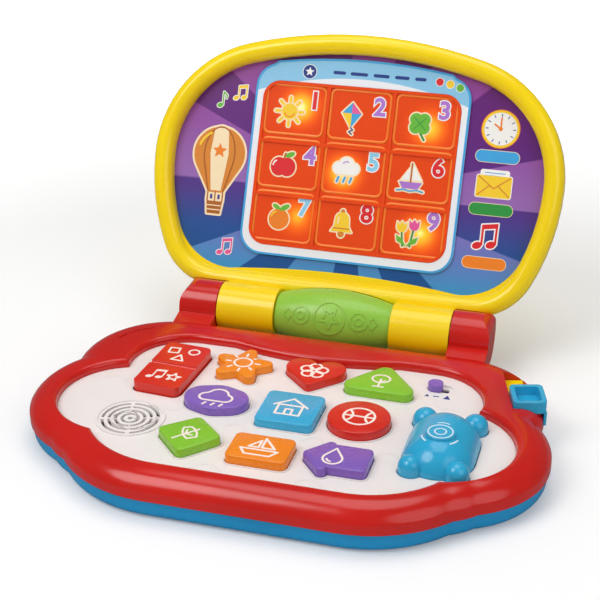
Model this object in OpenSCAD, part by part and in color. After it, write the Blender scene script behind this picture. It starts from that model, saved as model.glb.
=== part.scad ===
// Toy laptop: a lobed case with shaped keys, and a lid on a friction hinge.
// Origin: centre of the case's footprint, on its flat underside. X runs to the
// right, Y to the back and Z up. All lengths are in millimetres.

/* [Case outline] */
// Side lobes, sideways from the middle
side_x = 90; // [88:0.5:92]
// Side lobes, backwards from the middle
side_y = -25.5; // [-27:0.5:-24]
// Side lobes, radius
side_r = 55; // [54:0.5:56]
// Front corners, sideways from the middle
front_x = 50; // [48:0.5:52]
// Front corners, backwards from the middle
front_y = -38; // [-40:0.5:-36]
// Front corners, radius
front_r = 70.5; // [69:0.5:72]
// Back lobes, sideways from the middle
back_x = 84; // [83:0.5:85]
// Back lobes, backwards from the middle
back_y = 17; // [16:0.5:18]
// Back lobes, radius
back_r = 52; // [51:0.5:52.5]

// Blends between the side and the front, sideways from the middle
blend_x = 85; // [84.5:0.1:85.5]
// Blends between the side and the front, backwards from the middle
blend_y = -48.1; // [-48.5:0.1:-48]
// Blends between the side and the front, radius
blend_r = 40; // [39.5:0.1:40.2]

/* [Case section] */
// Height of the seam between the lower tray and the upper housing
seam_z = 12; // [11:0.5:13]
// Height at which the rim's side wall starts to round over
edge_z = 16.5; // [16:0.5:17.5]
// Radius of the rim's outer edge
edge_r = 4; // [3.5:0.5:4.5]
// Height of the rim's crest
crest_z = 26; // [25.5:0.5:27]
// Distance of the crest from the outer wall
crest_in = 13.6; // [12:0.2:14]
// Wall of the upper housing
wall = 2.6; // [2.2:0.2:3]
// Step inwards from the housing to the lower tray
tray_in = 1.5; // [1:0.25:1.5]
// Radius of the tray's lower edge
tray_edge = 6; // [5:0.5:7]
// Floor and wall of the lower tray
tray_t = 2.4; // [2.2:0.2:2.6]

/* [Keyboard panel] */
// Height of the panel's upper face
panel_z = 21; // [20.8:0.1:21.2]
// Thickness of the panel
panel_t = 2.2; // [2:0.1:2.4]
// Panel side lobes, sideways from the middle
well_side_x = 88.6; // [88:0.2:89]
// Panel side lobes, backwards from the middle
well_side_y = -31; // [-31.5:0.25:-30.5]
// Panel side lobes, radius
well_side_r = 38.4; // [38:0.2:39]
// Panel front corners, radius
well_front_r = 53.5; // [53:0.5:54]
// Panel back corners, sideways from the middle
well_back_x = 71; // [70:0.5:72]
// Panel back corners, backwards from the middle
well_back_y = 12.5; // [12:0.5:13]
// Panel back corners, radius
well_back_r = 32; // [31:0.5:32]
// Radius of the rim's bulge behind the keys
bulge_r = 170; // [165:1:175]
// Front of the bulge
bulge_y = 37; // [36.8:0.1:37.2]
// Radius of the rim's inner edge
lip_r = 3; // [2:0.5:3]

/* [Keys] */
// Height of the key tops
key_z = 26.3; // [26:0.1:26.6]
// Bevel round a key's top
key_bevel = 1; // [0.6:0.1:1.2]
// Travel of a key
key_travel = 2.4; // [2:0.1:2.4]
// Gap round a key in its aperture
key_gap = 0.4; // [0.35:0.05:0.5]
// Width of the flange that holds a key under the panel
key_flange = 1.5; // [1.2:0.1:1.5]

/* [Slider] */
// Slider centre, sideways
slide_x = 125.5; // [125:0.25:126]
// Slider centre, backwards
slide_y = 23; // [22.5:0.25:23.5]
// Turn of the slider's channel
slide_turn = 16; // [15:0.5:17]
// Travel of the slider
slide_travel = 20; // [18:1:20]

/* [Hinge] */
// Hinge axis, backwards from the middle
hinge_y = 87.5; // [87.5:0.25:89]
// Height of the hinge axis
hinge_z = 26; // [25.5:0.25:26.5]
// Lean of the lid behind the vertical
lean = 24.75; // [15:0.25:30]
// Radius of the hinge barrels and towers
hinge_r = 15; // [14.5:0.25:15]
// Half the length of the roller's bay
roller_x = 36; // [35:0.5:37]
// Outer end of a barrel
barrel_x = 72; // [71.5:0.25:72]
// Outer end of a tower
tower_x = 96; // [95:0.5:98]
// Radius of the roller at its middle
roller_mid_r = 18.4; // [17.5:0.1:18.4]
// Radius of the roller at its ends
roller_end_r = 12.8; // [12:0.2:14]

/* [Lid] */
// Middle of the lid, sideways from the case's middle
lid_x = -2.4; // [-3:0.1:0]
// Half the width of the lid
lid_w = 129; // [127:0.1:130]
// Height of the lid's top edge above the hinge axis
lid_top = 175; // [172:0.5:176]
// Height of the lid's lower edge above the hinge axis
lid_low = 10.7; // [10.5:0.1:11]
// Radius of the lid's top edge
lid_top_r = 275; // [265:1:285]
// Radius of the lid's upper corners
lid_corner_r = 75; // [73:1:77]
// Radius of the lid's sides
lid_side_r = 138; // [136:1:140]
// Radius of the lid's lower corners
lid_foot_r = 40; // [39:0.5:42]
// Radius of the lid's rounded rim
tube_r = 6; // [5.8:0.1:6.2]
// Wall of the lid's mouldings
lid_t = 2.4; // [2.2:0.1:2.6]

/* [Shown] */
// Sub-part to draw

/* [Hidden] */
$fn = 64;

fit = 0.15;      // gap round a piece that is held
free = 0.3;      // gap to a piece that moves
run = 0.05;      // gap of a shaft that turns in its bore
cut = 1;         // how far a cutting shape reaches past a face

red = "#d8202c";
blue = "#1d4fb4";
white = "#f2f1ec";
yellow = "#ffd60a";
steel = "#b9bcc0";

// Rim: the outer edge's arc runs into the dome's arc, which is level at the crest
dome_r = (pow(crest_in - edge_r, 2) + pow(crest_z - edge_z, 2) - pow(edge_r, 2))
    / (2 * (crest_z - edge_z - edge_r));
dome_z = crest_z - dome_r;
dome_turn = atan2(edge_z - dome_z, crest_in - edge_r);

ledge_z = panel_z - panel_t;
flange_z = 17;               // underside of the key flanges and of the panel's own flange
board_z = 9;                 // underside of the main board
board_t = 1.6;
board_top = board_z + board_t;
pad_top = flange_z - key_travel - free;

// Points of an arc; skip leaves out its first points
function arc(c, r, a0, a1, n, skip = 0) =
    [for (i = [skip:n]) let (a = a0 + (a1 - a0) * i / n) [c.x + r * cos(a), c.y + r * sin(a)]];

// The crossing of two circles on the right of the way from the first to the second
function crossing(c1, r1, c2, r2) =
    let (d = norm(c2 - c1), base = atan2(c2.y - c1.y, c2.x - c1.x),
        off = acos((r1 * r1 + d * d - r2 * r2) / (2 * r1 * d)))
    [c1.x + r1 * cos(base - off), c1.y + r1 * sin(base - off)];

function bearing(c, p) = atan2(p.y - c.y, p.x - c.x);
function mirrored(pts) = [for (i = [len(pts) - 1:-1:0]) [-pts[i].x, pts[i].y]];

module both_sides() {
    children();
    mirror([1, 0, 0]) children();
}

// ---- Case -------------------------------------------------------------------

side_c = [side_x, side_y];
front_c = [front_x, front_y];
back_c = [back_x, back_y];
blend_c = [blend_x, blend_y];
well_side_c = [well_side_x, well_side_y];
well_back_c = [well_back_x, well_back_y];
sector_turn = 40;            // how far a back lobe reaches below its centre, inside the side lobe

// Half section of the upper housing, drop inside its surface
module rim_section(r, drop, z0) {
    polygon(concat([[0, z0], [r, z0]],
        arc([r + drop - edge_r, edge_z], edge_r - drop, 0, dome_turn, 3),
        arc([r + drop - crest_in, dome_z], dome_r - drop, dome_turn, 90, 7, 1),
        [[0, crest_z - drop]]));
}

// Half section of the lower tray, drop inside its surface
module tray_section(r, drop, z1) {
    polygon(concat([[0, drop]],
        arc([r + drop - tray_edge, tray_edge], tray_edge - drop, -90, 0, 6),
        [[r, z1], [0, z1]]));
}

module case_section(part, r, drop, z) {
    if (part == "rim") rim_section(r, drop, z);
    if (part == "tray") tray_section(r, drop, z);
}

// The case's outline as a solid of the given section, inset from the outer wall
module case_form(part, inset, drop, z, low, high) {
    both_sides() {
        translate([side_x, side_y, 0]) rotate_extrude()
            case_section(part, side_r - inset, drop, z);
        translate([blend_x, blend_y, 0]) rotate_extrude()
            case_section(part, blend_r - inset, drop, z);
        translate([front_x, front_y, 0]) rotate_extrude(start = 270, angle = 90)
            case_section(part, front_r - inset, drop, z);
        translate([back_x, back_y, 0])
            rotate_extrude(start = -sector_turn, angle = 90 + sector_turn)
            case_section(part, back_r - inset, drop, z);
    }
    translate([-front_x, front_y, 0]) rotate([90, 0, 90]) linear_extrude(2 * front_x)
        mirror([1, 0]) case_section(part, front_r - inset, drop, z);
    translate([-back_x, back_y, 0]) rotate([90, 0, 90]) linear_extrude(2 * back_x)
        case_section(part, back_r - inset, drop, z);
    translate([-side_x, front_y, low]) cube([2 * side_x, back_y - front_y, high - low]);
}

// The panel's outline, grown by d
function well_half(d) =
    let (rf = well_front_r + d, rs = well_side_r + d, rb = well_back_r + d, ru = bulge_r - d,
        p = crossing(front_c, rf, well_side_c, rs),
        q = crossing(well_side_c, rs, well_back_c, rb),
        bulge_c = [0, bulge_y + bulge_r],
        edge = well_back_y + rb,
        turn = acos((bulge_c.y - edge) / ru))
    concat(arc(front_c, rf, -90, bearing(front_c, p), 12),
        arc(well_side_c, rs, bearing(well_side_c, p), bearing(well_side_c, q), 36, 1),
        arc(well_back_c, rb, bearing(well_back_c, q), 90, 22, 1),
        arc(bulge_c, ru, -90 + turn, -90, 8));

module well_outline(d) {
    half = well_half(d);
    polygon(concat(half, [for (i = [1:len(half) - 1]) mirrored(half)[i]]));
}

// Half section of the panel's well, whose wall rounds outwards at the crest
module well_section(r) {
    polygon(concat([[0, ledge_z - cut], [r, ledge_z - cut]],
        arc([r + lip_r, crest_z - lip_r], lip_r, 180, 90, 4),
        [[r + lip_r, crest_z + cut], [0, crest_z + cut]]));
}

// The rim's bulge behind the keys, rounded at the crest
module bulge_section() {
    polygon(concat([[0, ledge_z - 2 * cut], [bulge_r, ledge_z - 2 * cut]],
        arc([bulge_r - lip_r, crest_z - lip_r], lip_r, 0, 90, 4), [[0, crest_z]]));
}

module well() {
    both_sides() {
        translate([well_side_x, well_side_y, 0]) rotate_extrude() well_section(well_side_r);
        translate([front_x, front_y, 0]) rotate_extrude(start = 270, angle = 90)
            well_section(well_front_r);
        translate([well_back_x, well_back_y, 0])
            rotate_extrude(start = -sector_turn, angle = 90 + sector_turn)
            well_section(well_back_r);
    }
    translate([-front_x, front_y, 0]) rotate([90, 0, 90]) linear_extrude(2 * front_x)
        mirror([1, 0]) well_section(well_front_r);
    difference() {
        translate([-well_back_x, well_back_y, 0]) rotate([90, 0, 90])
            linear_extrude(2 * well_back_x) well_section(well_back_r);
        translate([0, bulge_y + bulge_r, 0]) rotate_extrude(start = 240, angle = 60)
            bulge_section();
    }
    translate([-well_side_x, front_y, ledge_z - cut])
        cube([2 * well_side_x, well_back_y - front_y, crest_z - ledge_z + 2 * cut]);
}

// Screw posts of the case, right half
post_spots = [[50, -98.6], [135, -28], [78, 57]];
post_r = 3.6;
post_z = 6;                  // where the lower posts meet the upper ones
screw_r = 1.4;
head_r = 2.8;
head_z = 2.2;                // depth of a screw head's recess

module at_posts() for (s = [-1, 1], p = post_spots) translate([s * p.x, p.y, 0]) children();

// Screw with its head down
module screw(head_low, tip) {
    translate([0, 0, head_low]) cylinder(r = head_r - free, h = 1.6);
    translate([0, 0, head_low]) cylinder(r = screw_r, h = tip - head_low);
}

// Battery box
cell_r = 7.25;
cell_len = 50.5;
box_x = 55;                  // half the length of the box inside
box_y0 = 40.5;
box_y1 = 55.7;
box_top = 16.9;
box_t = 1.5;
door_t = 1.8;
door_in = 2;                 // how far the door reaches past the box inside
door_tab = 7.5;              // extra length of the door under its screw
door_end = box_x + door_in + door_tab;
door_screw_x = box_x + 5.5;
box_y = (box_y0 + box_y1) / 2;
pad_edge = 3.6;

module door_plate(gap) {
    translate([-box_x - door_in - gap, box_y0 - door_in - gap, 0])
        cube([box_x + door_in + door_end + 2 * gap, box_y1 - box_y0 + 2 * (door_in + gap), door_t + gap]);
}

// Slider channel, in the slider's own directions: x outwards, y backwards
channel_in = -9.25;
channel_out = 2.2;
lip_out = 7.7;               // outer face of the lip that the slider hangs over
channel_z = 19.5;
channel_y0 = -10.9;
channel_y1 = slide_travel + 10.9;
lip_z = 22;                  // top of the lip, which the slider's cap straddles
slot_w = 4;
stem_half = 3;
deck_t = 0.8;

module at_slider() translate([slide_x, slide_y, 0]) rotate([0, 0, slide_turn]) children();

module slider_tub() {
    at_slider() translate([channel_in - 2, channel_y0 - 2, channel_z - 2.2])
        cube([lip_out + 5 - channel_in, channel_y1 - channel_y0 + 4, crest_z]);
}

// ---- Base pieces ------------------------------------------------------------

rocker_x = -75;
rocker_y = 5.5;
rocker_w = 28;
rocker_l = 51;
rocker_turn = -4;
rocker_pin_z = 17.6;
rocker_foot = 16;
pin_r = 1.5;

speaker_c = [-80, -48];
speaker_r = 17;

knob_c = [73.5, 29];
knob_r = 4.3;
knob_travel = 6;
pocket_t = 1;

mouse_c = [89, -35.5];
mouse_r = 19;
mouse_half = 8.5;            // from the mouse's middle to each of its round ends
mouse_edge_z = 23;
// Bumps at its corners: sideways, backwards, radius and height of their tops
mouse_bumps = [[13.5, 25.2, 7, 30.5], [12, -23, 6.5, 30.5]];
mouse_z = 36.6;

board_posts = [[-60, -72], [60, -72], [-84, 24], [86, 16]];

module bottom_shell() color(blue) difference() {
    union() {
        difference() {
            case_form("tray", tray_in, 0, seam_z, 0, seam_z);
            case_form("tray", tray_in + tray_t, tray_t, seam_z + cut, tray_t, seam_z + cut);
        }
        // tongue that centres the housing
        translate([0, 0, seam_z - 1]) linear_extrude(3) difference() {
            case_outline(-wall - fit);
            case_outline(0.2 - tray_in - tray_t);
        }
        at_posts() cylinder(r = post_r, h = post_z);
        for (p = board_posts) translate([p.x, p.y, 1]) cylinder(r = 3, h = board_z - 1);
        translate([-box_x - box_t, box_y0 - box_t, 0])
            cube([2 * (box_x + box_t), box_y1 - box_y0 + 2 * box_t, box_top + box_t]);
        translate([-box_x - pad_edge, box_y0 - pad_edge, 0])
            cube([box_x + door_end + 2 * pad_edge - door_in, box_y1 - box_y0 + 2 * pad_edge, pad_edge]);
        translate([door_screw_x, box_y, 1]) cylinder(r = 3, h = 8);
    }
    // gaps in the tongue for the towers' feet
    both_sides() translate([barrel_x, 56, seam_z]) cube([tower_x + 1 - barrel_x, 20, 3]);
    // battery box and its door
    translate([-box_x, box_y0, -cut]) cube([2 * box_x, box_y1 - box_y0, box_top + cut]);
    translate([0, 0, -0.01]) door_plate(fit);
    translate([door_screw_x, box_y, -cut]) cylinder(r = screw_r, h = 8.5);
    at_posts() {
        translate([0, 0, -cut]) cylinder(r = head_r, h = head_z + cut);
        translate([0, 0, -cut]) cylinder(r = screw_r + fit, h = post_z + 2 * cut);
    }
    for (p = board_posts) translate([p.x, p.y, board_z - 5]) cylinder(r = 1, h = 5 + cut);
}

// The case's outline as a flat shape, grown by d
function case_half(d) =
    let (rf = front_r + d, rm = blend_r + d, rs = side_r + d, rb = back_r + d,
        o = crossing(front_c, rf, blend_c, rm), p = crossing(blend_c, rm, side_c, rs),
        q = crossing(side_c, rs, back_c, rb))
    concat(arc(front_c, rf, -90, bearing(front_c, o), 14),
        arc(blend_c, rm, bearing(blend_c, o), bearing(blend_c, p), 8, 1),
        arc(side_c, rs, bearing(side_c, p), bearing(side_c, q), 30, 1),
        arc(back_c, rb, bearing(back_c, q), 90, 22, 1));

module case_outline(d) {
    half = case_half(d);
    polygon(concat(half, mirrored(half)));
}

module tower() {
    foot_y = 62;
    round_r = 9;
    intersection() {
        translate([barrel_x + 0.5, 0, 0]) rotate([90, 0, 90]) linear_extrude(40) union() {
            translate([hinge_y, hinge_z]) circle(r = hinge_r);
            polygon([[foot_y - 2, seam_z], [back_y + back_r, seam_z],
                [hinge_y, hinge_z - hinge_r], [hinge_y, hinge_z],
                [hinge_y - hinge_r, hinge_z], [foot_y, crest_z - 2]]);
        }
        translate([0, hinge_y + 2 * hinge_r, 0]) rotate([90, 0, 0]) linear_extrude(100)
            polygon(concat([[barrel_x, 0], [tower_x, 0]],
                arc([tower_x - round_r, hinge_z + hinge_r - round_r], round_r, 0, 90, 10),
                [[barrel_x, hinge_z + hinge_r]]));
    }
}

pin_depth = 18;
hinge_pin_r = 3;

module top_housing() color(red) difference() {
    union() {
        difference() {
            case_form("rim", 0, 0, seam_z, seam_z, crest_z);
            difference() {
                case_form("rim", wall, wall, seam_z - cut, seam_z - cut, crest_z - wall);
                translate([0, 0, ledge_z]) linear_extrude(crest_z) well_outline(wall);
                slider_tub();
                at_posts() translate([0, 0, post_z]) cylinder(r = post_r, h = crest_z);
            }
            well();
        }
        // the posts' lower ends, which reach into the tray
        at_posts() translate([0, 0, post_z]) cylinder(r = post_r, h = seam_z + 4 - post_z);
        both_sides() tower();
    }
    at_posts() translate([0, 0, post_z - cut]) cylinder(r = screw_r, h = 12);
    both_sides() translate([barrel_x, hinge_y, hinge_z]) rotate([0, 90, 0])
        cylinder(r = hinge_pin_r, h = 0.5 + pin_depth);
    at_slider() {
        translate([channel_in, channel_y0, channel_z])
            cube([channel_out - channel_in, channel_y1 - channel_y0, crest_z]);
        translate([channel_in, channel_y0, lip_z])
            cube([lip_out + 9 - channel_in, channel_y1 - channel_y0, crest_z]);
        translate([lip_out, channel_y0 - 4, 14.5])
            cube([10, channel_y1 - channel_y0 + 8, crest_z]);
        translate([-slot_w / 2 - 3, -stem_half - free, seam_z])
            cube([slot_w, 2 * (stem_half + free) + slide_travel, crest_z]);
    }
}

// ---- Key outlines: groups of round beads, each group stretched into one convex shape

key_fn = 40;

// Four beads at the corners of a box, anticlockwise
function box_beads(c, w, l, r) = [[c.x - w, c.y - l, r], [c.x + w, c.y - l, r],
    [c.x + w, c.y + l, r], [c.x - w, c.y + l, r]];

star_c = [-37.5, 19];
star_groups = [for (i = [0:4]) let (a = 86 + 72 * i)
    [[star_c.x, star_c.y, 8.6], [star_c.x + 14 * cos(a), star_c.y + 14 * sin(a), 3.5]]];
heart_groups = [[[-3.7, 25.7, 9.2], [5, 8, 2.7]], [[13, 25.7, 9.2], [5, 8, 2.7]]];
triangle_groups = [[[44, 31.3, 5.6], [29.9, 13.7, 5.6], [58.2, 13.2, 5.6]]];
oval_groups = [[[-32.1, -21.5, 10.85], [-39.5, -21.5, 13.25], [-46.9, -21.5, 10.85],
    [-39.5, -21.5, 13.25]]];
square_groups = [box_beads([3, -22], 12.8, 12.8, 3.5)];
circle_groups = [[[41.3, -21.2, 17.2]]];
diamond_groups = [[[-54.7, -60.6, 3.5], [-40.7, -75.4, 3.5], [-27.7, -61, 3.5], [-40.8, -48.4, 3.5]]];
rectangle_groups = [box_beads([-0.5, -65], 13, 8.5, 3.5)];
arrow_groups = [[[24.8, -62.8, 3], [34, -73.8, 3], [34, -52.3, 3]],
    box_beads([44.5, -62.4], 9.5, 8.2, 3)];
key_groups = [star_groups, heart_groups, triangle_groups, oval_groups, square_groups,
    circle_groups, diamond_groups, rectangle_groups, arrow_groups];

// The way out from a group of beads, square to the side that runs from bead b to bead c
function side_normal(b, c) = bearing(b, c) - 90 + asin((b[2] - c[2]) / norm([c.x - b.x, c.y - b.y]));

// The outline round a group of beads listed anticlockwise, grown by grow
function belt(g, grow) = [for (i = [0:len(g) - 1])
    let (n = len(g), b = g[i], a0 = side_normal(g[(i + n - 1) % n], b),
        a1 = side_normal(b, g[(i + 1) % n]), turn = ((a1 - a0) % 360 + 360) % 360)
    each arc(b, b[2] + grow, a0, a0 + turn, max(2, ceil(turn / 10)))];

module key_outline(groups, grow) for (g = groups)
    if (len(g) == 1) translate([g[0].x, g[0].y]) circle(r = g[0][2] + grow);
    else polygon(belt(g, grow));

// One bead of a key, with its rounded bevel
module bead(r) rotate_extrude($fn = key_fn)
    polygon([[0, flange_z], [r, flange_z], [r, key_z - key_bevel],
        [r - 0.3 * key_bevel, key_z - 0.3 * key_bevel], [r - key_bevel, key_z], [0, key_z]]);

module key(groups, tint) color(tint) {
    for (g = groups) hull() for (b = g) translate([b.x, b.y, 0]) bead(b[2]);
    translate([0, 0, flange_z]) linear_extrude(ledge_z - free - flange_z)
        key_outline(groups, key_flange);
}

module mouse_outline(grow) translate(mouse_c) {
    for (s = [-1, 1]) translate([0, s * mouse_half]) circle(r = mouse_r + grow);
    translate([-mouse_r - grow, -mouse_half]) square([2 * (mouse_r + grow), 2 * mouse_half]);
    for (s = [-1, 1], b = mouse_bumps) translate([s * b[0], b[1]]) circle(r = b[2] + grow);
}

rocker_corner = 4;
module rocker_outline(grow) translate([rocker_x, rocker_y]) rotate([0, 0, rocker_turn])
    polygon(belt(box_beads([0, 0], rocker_w / 2 - rocker_corner, rocker_l / 2 - rocker_corner,
        rocker_corner), grow));

module speaker_slots() translate(speaker_c) {
    slot = 1.6;
    for (r = [4.4:3.6:15.2], a = [20:90:290]) rotate([0, 0, a]) difference() {
        intersection() {
            circle(r = r + slot / 2);
            polygon([[0, 0], [2 * speaker_r, 0], [2 * speaker_r, 2 * speaker_r], [0.35 * r, 2 * speaker_r]]);
        }
        circle(r = r - slot / 2);
    }
    circle(r = 1.4);
}

module keyboard_panel() color(white) difference() {
    union() {
        translate([0, 0, ledge_z]) linear_extrude(panel_t) well_outline(-fit);
        // flange under the housing's inner wall, open where the battery box passes
        translate([0, 0, flange_z]) linear_extrude(ledge_z - flange_z) difference() {
            well_outline(wall - 0.3);
            well_outline(-1.2);
            translate([-box_x - 4, box_y0 - 5.5]) square([2 * (box_x + 4), 40]);
        }
        // raised line round each key
        translate([0, 0, panel_z]) linear_extrude(0.5) intersection() {
            well_outline(-fit);
            for (g = key_groups) key_outline(g, key_gap + 1);
        }
        // ring that holds the speaker, and the rocker's bearings
        translate([speaker_c.x, speaker_c.y, ledge_z - 3]) difference() {
            cylinder(r = speaker_r + fit + 1, h = 3);
            translate([0, 0, -cut]) cylinder(r = speaker_r + fit, h = 3 + cut);
        }
        translate([rocker_x, rocker_y, 0]) rotate([0, 0, rocker_turn]) for (s = [-1, 1])
            translate([s * (rocker_w / 2 + 2.4) - 1.2, -3, rocker_pin_z - 3])
                cube([2.4, 6, ledge_z - rocker_pin_z + 4]);
    }
    translate([0, 0, flange_z - cut]) linear_extrude(panel_t + 10) {
        for (g = key_groups) key_outline(g, key_gap);
        mouse_outline(key_gap);
        rocker_outline(0.8);
    }
    translate([0, 0, ledge_z - cut]) linear_extrude(panel_t + 2 * cut) {
        speaker_slots();
        translate([knob_c.x - 1.5 - free, knob_c.y - 1.5 - free])
            square([3 + knob_travel + 2 * free, 3 + 2 * free]);
    }
    translate([0, 0, panel_z - pocket_t]) linear_extrude(panel_t)
        polygon(belt([for (x = [0, knob_travel]) [knob_c.x + x, knob_c.y, knob_r]], free));
    translate([rocker_x, rocker_y, rocker_pin_z]) rotate([0, 0, rocker_turn]) rotate([0, 90, 0])
        cylinder(r = pin_r, h = 60, center = true);
}

module battery_door() color(blue) difference() {
    union() {
        door_plate(0);
        // ribs that keep the cells down
        for (x = [-36, -14, 14, 36]) translate([x - 0.8, box_y0 + 1, door_t - 0.1])
            cube([1.6, box_y1 - box_y0 - 2, 0.3]);
    }
    translate([door_screw_x, box_y, -cut]) cylinder(r = screw_r + fit, h = 2 * door_t);
    translate([door_screw_x, box_y, -cut]) cylinder(r = head_r, h = cut + 0.9);
}

module door_screw() color(steel) translate([door_screw_x, box_y, 0.9]) {
    cylinder(r = screw_r, h = 6.5);
    translate([0, 0, -0.7]) cylinder(r = head_r - free, h = 0.7);
}

cell_z = door_t + 0.2 + cell_r;

module batteries() color("#c9a227") for (s = [-1, 1]) translate([s * cell_len / 2, box_y, cell_z])
    rotate([0, 90, 0]) {
        translate([0, 0, -cell_len / 2]) cylinder(r = cell_r - run, h = cell_len - 1.2);
        translate([0, 0, cell_len / 2 - 1.2]) cylinder(r = 2.7, h = 1.2 - run);
    }

module battery_contacts() color(steel) for (s = [-1, 1]) translate([0, box_y, cell_z]) {
    translate([s * (box_x - 0.25) - 0.25, -5, -5]) cube([0.5, 10, 10]);
    translate([s > 0 ? cell_len : -box_x, 0, 0]) rotate([0, 90, 0])
        cylinder(r1 = s > 0 ? 2 : 4.5, r2 = s > 0 ? 4.5 : 2, h = box_x - cell_len);
}

module main_board() color("#1f7a3d") difference() {
    translate([0, 0, board_z]) linear_extrude(board_t) polygon([[-66, -80], [66, -80], [66, -62],
        [106, -62], [106, -8], [92, -8], [92, 34], [-94, 34], [-94, -24], [-66, -24]]);
    for (p = board_posts) translate([p.x, p.y, 0]) cylinder(r = screw_r + 0.2, h = 2 * board_z);
}

module board_screws() color(steel) for (p = board_posts) translate([p.x, p.y, 0]) {
    translate([0, 0, board_z - 4]) cylinder(r = 1, h = 4 + board_t);
    translate([0, 0, board_top]) cylinder(r = 2.4, h = 1.3);
}

pad_spots = [[-37.5, 19], [5, 22], [44, 19], [-39.5, -21.5], [3, -22], [41.3, -21.2], [-41, -61.5],
    [-0.5, -65], [42, -62.5], [89, -44], [89, -27], [-74, 23], [-76, -12]];

module switch_pads() color("#5c5f66") for (p = pad_spots) translate([p.x, p.y, board_top]) {
    cylinder(r = 5, h = 0.8);
    cylinder(r1 = 4, r2 = 2.6, h = pad_top - board_top);
}

module speaker() color("#2c2d31") translate([speaker_c.x, speaker_c.y, 0]) rotate_extrude()
    polygon([[0, 6.5], [9, 6.5], [9, 11.5], [speaker_r - 3, 16.2], [speaker_r, 16.2],
        [speaker_r, ledge_z], [speaker_r - 2, ledge_z], [6, 14.5], [3, 15.6], [0, 16.2]]);

module case_screws() color(steel) at_posts() screw(head_z - 1.6, 16);

module hinge_pins() color(steel) both_sides() translate([barrel_x - 12, hinge_y, hinge_z])
    rotate([0, 90, 0]) cylinder(r = hinge_pin_r, h = 12 + 0.5 + pin_depth);

module label_deck() color(yellow) at_slider() difference() {
    translate([channel_in + fit, channel_y0 + fit, channel_z])
        cube([channel_out - channel_in - 2 * fit, channel_y1 - channel_y0 - 2 * fit, deck_t]);
    translate([-slot_w / 2 - 3, -stem_half - free, 0])
        cube([slot_w, 2 * (stem_half + free) + slide_travel, crest_z]);
}

module switch_body() color(steel) translate([knob_c.x + knob_travel / 2 - 8, knob_c.y - 3.5, board_top])
    cube([16, 7, 6.2]);

module rocker_pin() color(steel) translate([rocker_x, rocker_y, rocker_pin_z])
    rotate([0, 0, rocker_turn]) rotate([0, 90, 0])
    cylinder(r = pin_r, h = rocker_w + 7.2, center = true);

// ---- Moving pieces of the base ----------------------------------------------

module key_star() key(star_groups, "#f0731c");
module key_heart() key(heart_groups, "#dc2430");
module key_triangle() key(triangle_groups, "#1fa04a");
module key_oval() key(oval_groups, "#6b3fa0");
module key_square() key(square_groups, "#58b6e6");
module key_circle() key(circle_groups, "#dc2430");
module key_diamond() key(diamond_groups, "#1fa04a");
module key_rectangle() key(rectangle_groups, "#f0731c");
module key_arrow() key(arrow_groups, "#6b3fa0");

module mode_rocker() color(red) difference() {
    translate([0, 0, rocker_foot]) linear_extrude(26.5 - rocker_foot) rocker_outline(0);
    translate([rocker_x, rocker_y, 0]) rotate([0, 0, rocker_turn]) {
        // shallow roof that falls towards the middle, and the groove across it
        translate([0, 0, 26.6]) rotate([0, 90, 0]) cylinder(r = 1.6, h = 40, center = true);
        translate([0, 0, rocker_pin_z]) rotate([0, 90, 0])
            cylinder(r = pin_r + run, h = 60, center = true);
    }
}

// Half section of the mouse's dome
mouse_rise = mouse_z - mouse_edge_z;
mouse_dome_r = (pow(mouse_r, 2) + pow(mouse_rise, 2)) / (2 * mouse_rise);

module mouse_section() polygon(concat([[0, ledge_z], [mouse_r, ledge_z]],
    arc([0, mouse_z - mouse_dome_r], mouse_dome_r, asin((mouse_edge_z - mouse_z + mouse_dome_r)
        / mouse_dome_r), 90, 10)));

module mouse_button() color("#58b6e6") {
    translate([mouse_c.x, mouse_c.y, 0]) {
        translate([0, mouse_half, 0]) rotate_extrude(start = 0, angle = 180) mouse_section();
        translate([0, -mouse_half, 0]) rotate_extrude(start = 180, angle = 180) mouse_section();
        for (s = [0, 1]) mirror([s, 0, 0]) {
            translate([0, mouse_half, 0]) rotate([90, 0, 0]) linear_extrude(2 * mouse_half)
                mouse_section();
            for (b = mouse_bumps) translate([b[0], b[1], 0]) rotate_extrude()
                polygon(concat([[0, flange_z], [b[2], flange_z]], arc([0, b[3] - b[2]], b[2], 0, 90, 8)));
        }
        translate([0, -6.5, 30]) cylinder(r = 7.75, h = 7);
    }
    translate([0, 0, flange_z]) linear_extrude(ledge_z - free - flange_z) intersection() {
        mouse_outline(key_flange);
        well_outline(-1.6);
    }
}

module slider() color("#58b6e6") at_slider() {
    cap_z = lip_z + free;
    cap_top = 29.2;
    difference() {
        union() {
            translate([0, 0, cap_z]) linear_extrude(cap_top - cap_z)
                polygon(belt(box_beads([0.3, 0], 9.2 - 3, 10.25 - 3, 3), 0));
            translate([lip_out + free, -10.25, 15]) cube([9.5 - lip_out - free, 20.5, cap_z - 14]);
            translate([channel_in + free, -10.25, channel_z + deck_t + free])
                cube([channel_out - channel_in - 2 * free, 20.5, cap_z - channel_z]);
            translate([-slot_w / 2 - 3 + free, -stem_half, 16]) cube([slot_w - 2 * free, 2 * stem_half, 8]);
            translate([-slot_w / 2 - 5, -stem_half, 15.4]) cube([slot_w + 4, 2 * stem_half, 1.5]);
        }
        translate([0, 0, cap_z + 1.6]) linear_extrude(10)
            polygon(belt(box_beads([0.3, 0], 6.7 - 2, 7.75 - 2, 2), 0));
    }
}

module volume_knob() color("#6b3fa0") translate([knob_c.x, knob_c.y, 0]) {
    translate([0, 0, panel_z - pocket_t + free]) cylinder(r = knob_r, h = 4.4);
    translate([-1.5, -1.5, board_top + 6.2 + free]) cube([3, 3, 5]);
}

// ---- Lid, in its own directions: x sideways, y up along the lid, z to its front

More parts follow.
